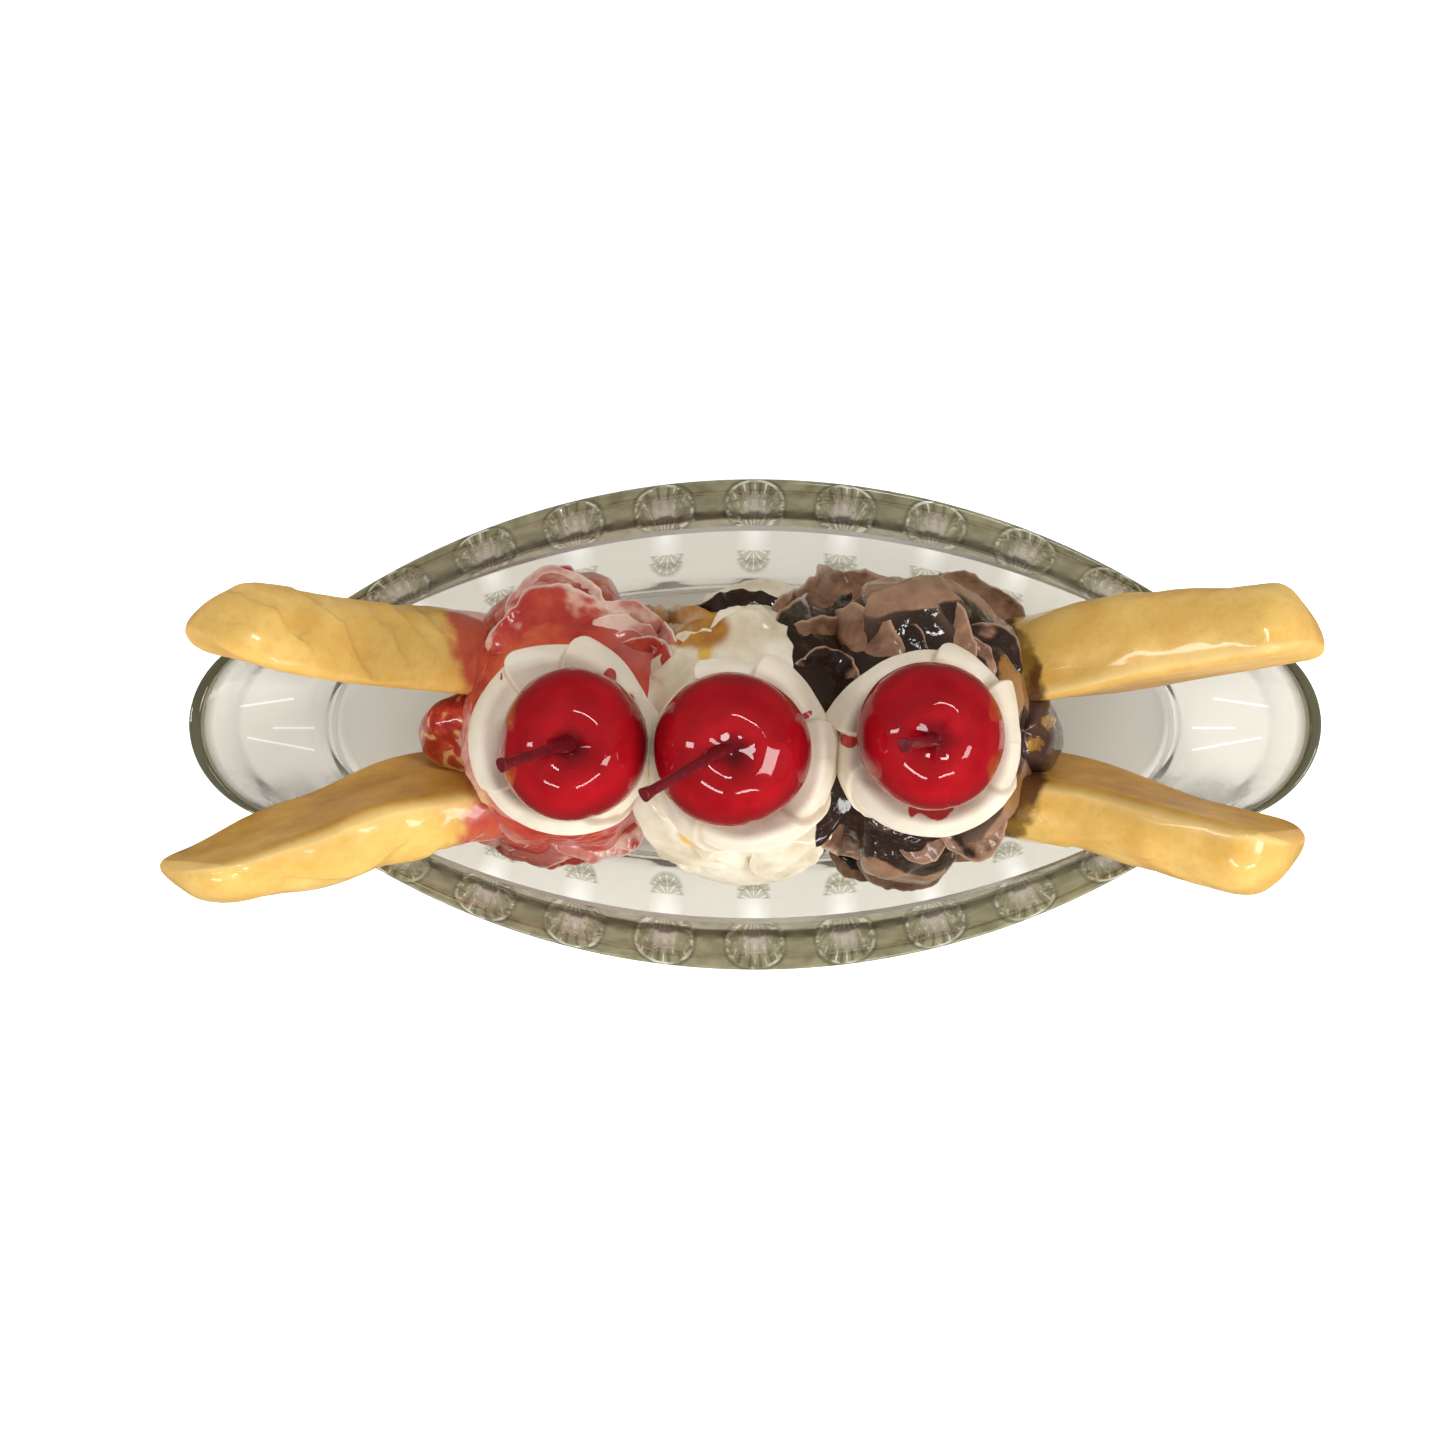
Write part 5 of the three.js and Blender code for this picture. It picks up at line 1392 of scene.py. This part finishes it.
def finished(piece, made, slot, *nodes):
    """Gives a piece its material, and puts it in the place of the CAD node that it stands for."""
    piece.data.materials.clear()
    piece.data.materials.append(made)
    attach(piece, "root")
    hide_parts(*nodes)


finished(make_dish(), pressed_glass(), "glass", "dish")

banana_skin = banana_glaze()
for side in BANANAS:
    finished(make_banana(side), banana_skin, "banana", f"banana_{side}")

SCOOP_GLAZES = {"strawberry": strawberry_glaze, "vanilla": vanilla_glaze, "chocolate": chocolate_glaze}
for flavour, look in SCOOP_GLAZES.items():
    finished(make_scoop(flavour), look(), flavour, f"scoop_{flavour}")

cream_clay, resin, stem_look = bisque_cream(), cherry_resin(), stem_resin()
for place in SERVINGS:
    finished(make_cream(place), cream_clay, "cream", f"cream_{place}")
    finished(make_cherry(place), resin, "cherry", f"cherry_{place}")
    finished(make_stem(place), stem_look, "stem", f"stem_{place}")

finished(make_sauce("strawberry"), berry_sauce(), "strawberry_sauce", "sauce_strawberry")
finished(make_sauce("chocolate"), chocolate_sauce(), "chocolate_sauce", "sauce_chocolate")


# ---- Camera, floor and light ----

CAMERA_PLACE = (-6.229, 0.381, 600)
LENS_MM, SENSOR_MM = 72.19, 36
FLOOR_SIZE_M = 6
# Point that the soft lights face, in metres, and how far they stand from it.
LIGHTS_FACE, LIGHTS_AWAY = (0, 0, 0.06), 2.0
# Name, turn, height angle, width and height in metres, and power of each.
SOFT_LIGHTS = (
    ("window_right", -22, 38, (0.55, 0.75), 20),
    ("window_front_left", -118, 24, (1.0, 0.2), 13),
    ("window_front", -65, 26, (1.0, 0.2), 13),
    ("window_left", 175, 30, (0.2, 0.8), 9),
    ("overhead", 62, 62, (0.7, 0.25), 15),
)


def make_floor():
    bpy.ops.object.select_all(action="DESELECT")
    bpy.ops.mesh.primitive_plane_add(size=FLOOR_SIZE_M, location=(0, 0, -0.1 * MM))
    floor = named("studio_floor")
    made, tree, shader, point, _ = started(
        "matt_white_paper", Base_Color="#f7f7f5", Roughness=0.9, Specular_IOR_Level=0.0,
        Emission_Color="#ffffff",
    )
    # The light falls off away from the middle of the table.
    away = add(tree, "VectorMath", {0: point}, operation="LENGTH")
    lit = add(tree, "MapRange", {
        "Value": away, "From Min": 0.22, "From Max": 0.4, "To Min": 0.6, "To Max": 0.3,
    }, interpolation_type="SMOOTHSTEP")
    wired(tree, shader, {"Emission Strength": lit})
    floor.data.materials.append(made)
    # Gloss would otherwise mirror the whole white table as a haze.
    floor.visible_glossy = False


def soft_light(name, turn, lift, size, power):
    """A soft box at a turn and height angle from the dish, facing it."""
    aim = Vector(LIGHTS_FACE)
    place = aim + Vector(on_ball(turn, lift)) * LIGHTS_AWAY
    lamp = bpy.data.lights.new(name, "AREA")
    lamp.shape = "RECTANGLE"
    lamp.size, lamp.size_y = size
    lamp.energy = power
    holder = bpy.data.objects.new(name, lamp)
    holder.location = place
    holder.rotation_euler = (aim - place).to_track_quat("-Z", "Y").to_euler()
    bpy.context.scene.collection.objects.link(holder)


def make_studio():
    """A pale room that is dimmer near the floor than overhead."""
    world = bpy.data.worlds.new("studio_room")
    bpy.context.scene.world = world
    world.use_nodes = True
    tree = world.node_tree
    way = add(tree, "SeparateXYZ", {"Vector": add(tree, "TexCoord", {}).outputs["Generated"]})
    high = add(tree, "MapRange", {
        "Value": way.outputs["Z"], "From Min": -0.1, "From Max": 0.5, "To Min": 0.12, "To Max": 0.31,
    }, interpolation_type="SMOOTHSTEP")
    wired(tree, tree.nodes["Background"], {"Color": "#fffdf8", "Strength": high})
    for light in SOFT_LIGHTS:
        soft_light(*light)


def make_camera():
    camera = bpy.data.objects.new("camera", bpy.data.cameras.new("camera"))
    camera.location = Vector(CAMERA_PLACE) * MM
    camera.data.sensor_width = SENSOR_MM
    camera.data.lens = LENS_MM
    camera.data.clip_start = 0.01
    bpy.context.scene.collection.objects.link(camera)
    bpy.context.scene.camera = camera


make_floor()
make_studio()
make_camera()
bpy.context.scene.view_settings.view_transform = "Standard"
# Light bounces many times inside the thick rim before it leaves the glass.
BOUNCES = 28
bpy.context.scene.cycles.max_bounces = BOUNCES
bpy.context.scene.cycles.transmission_bounces = BOUNCES

bpy.context.view_layer.update()
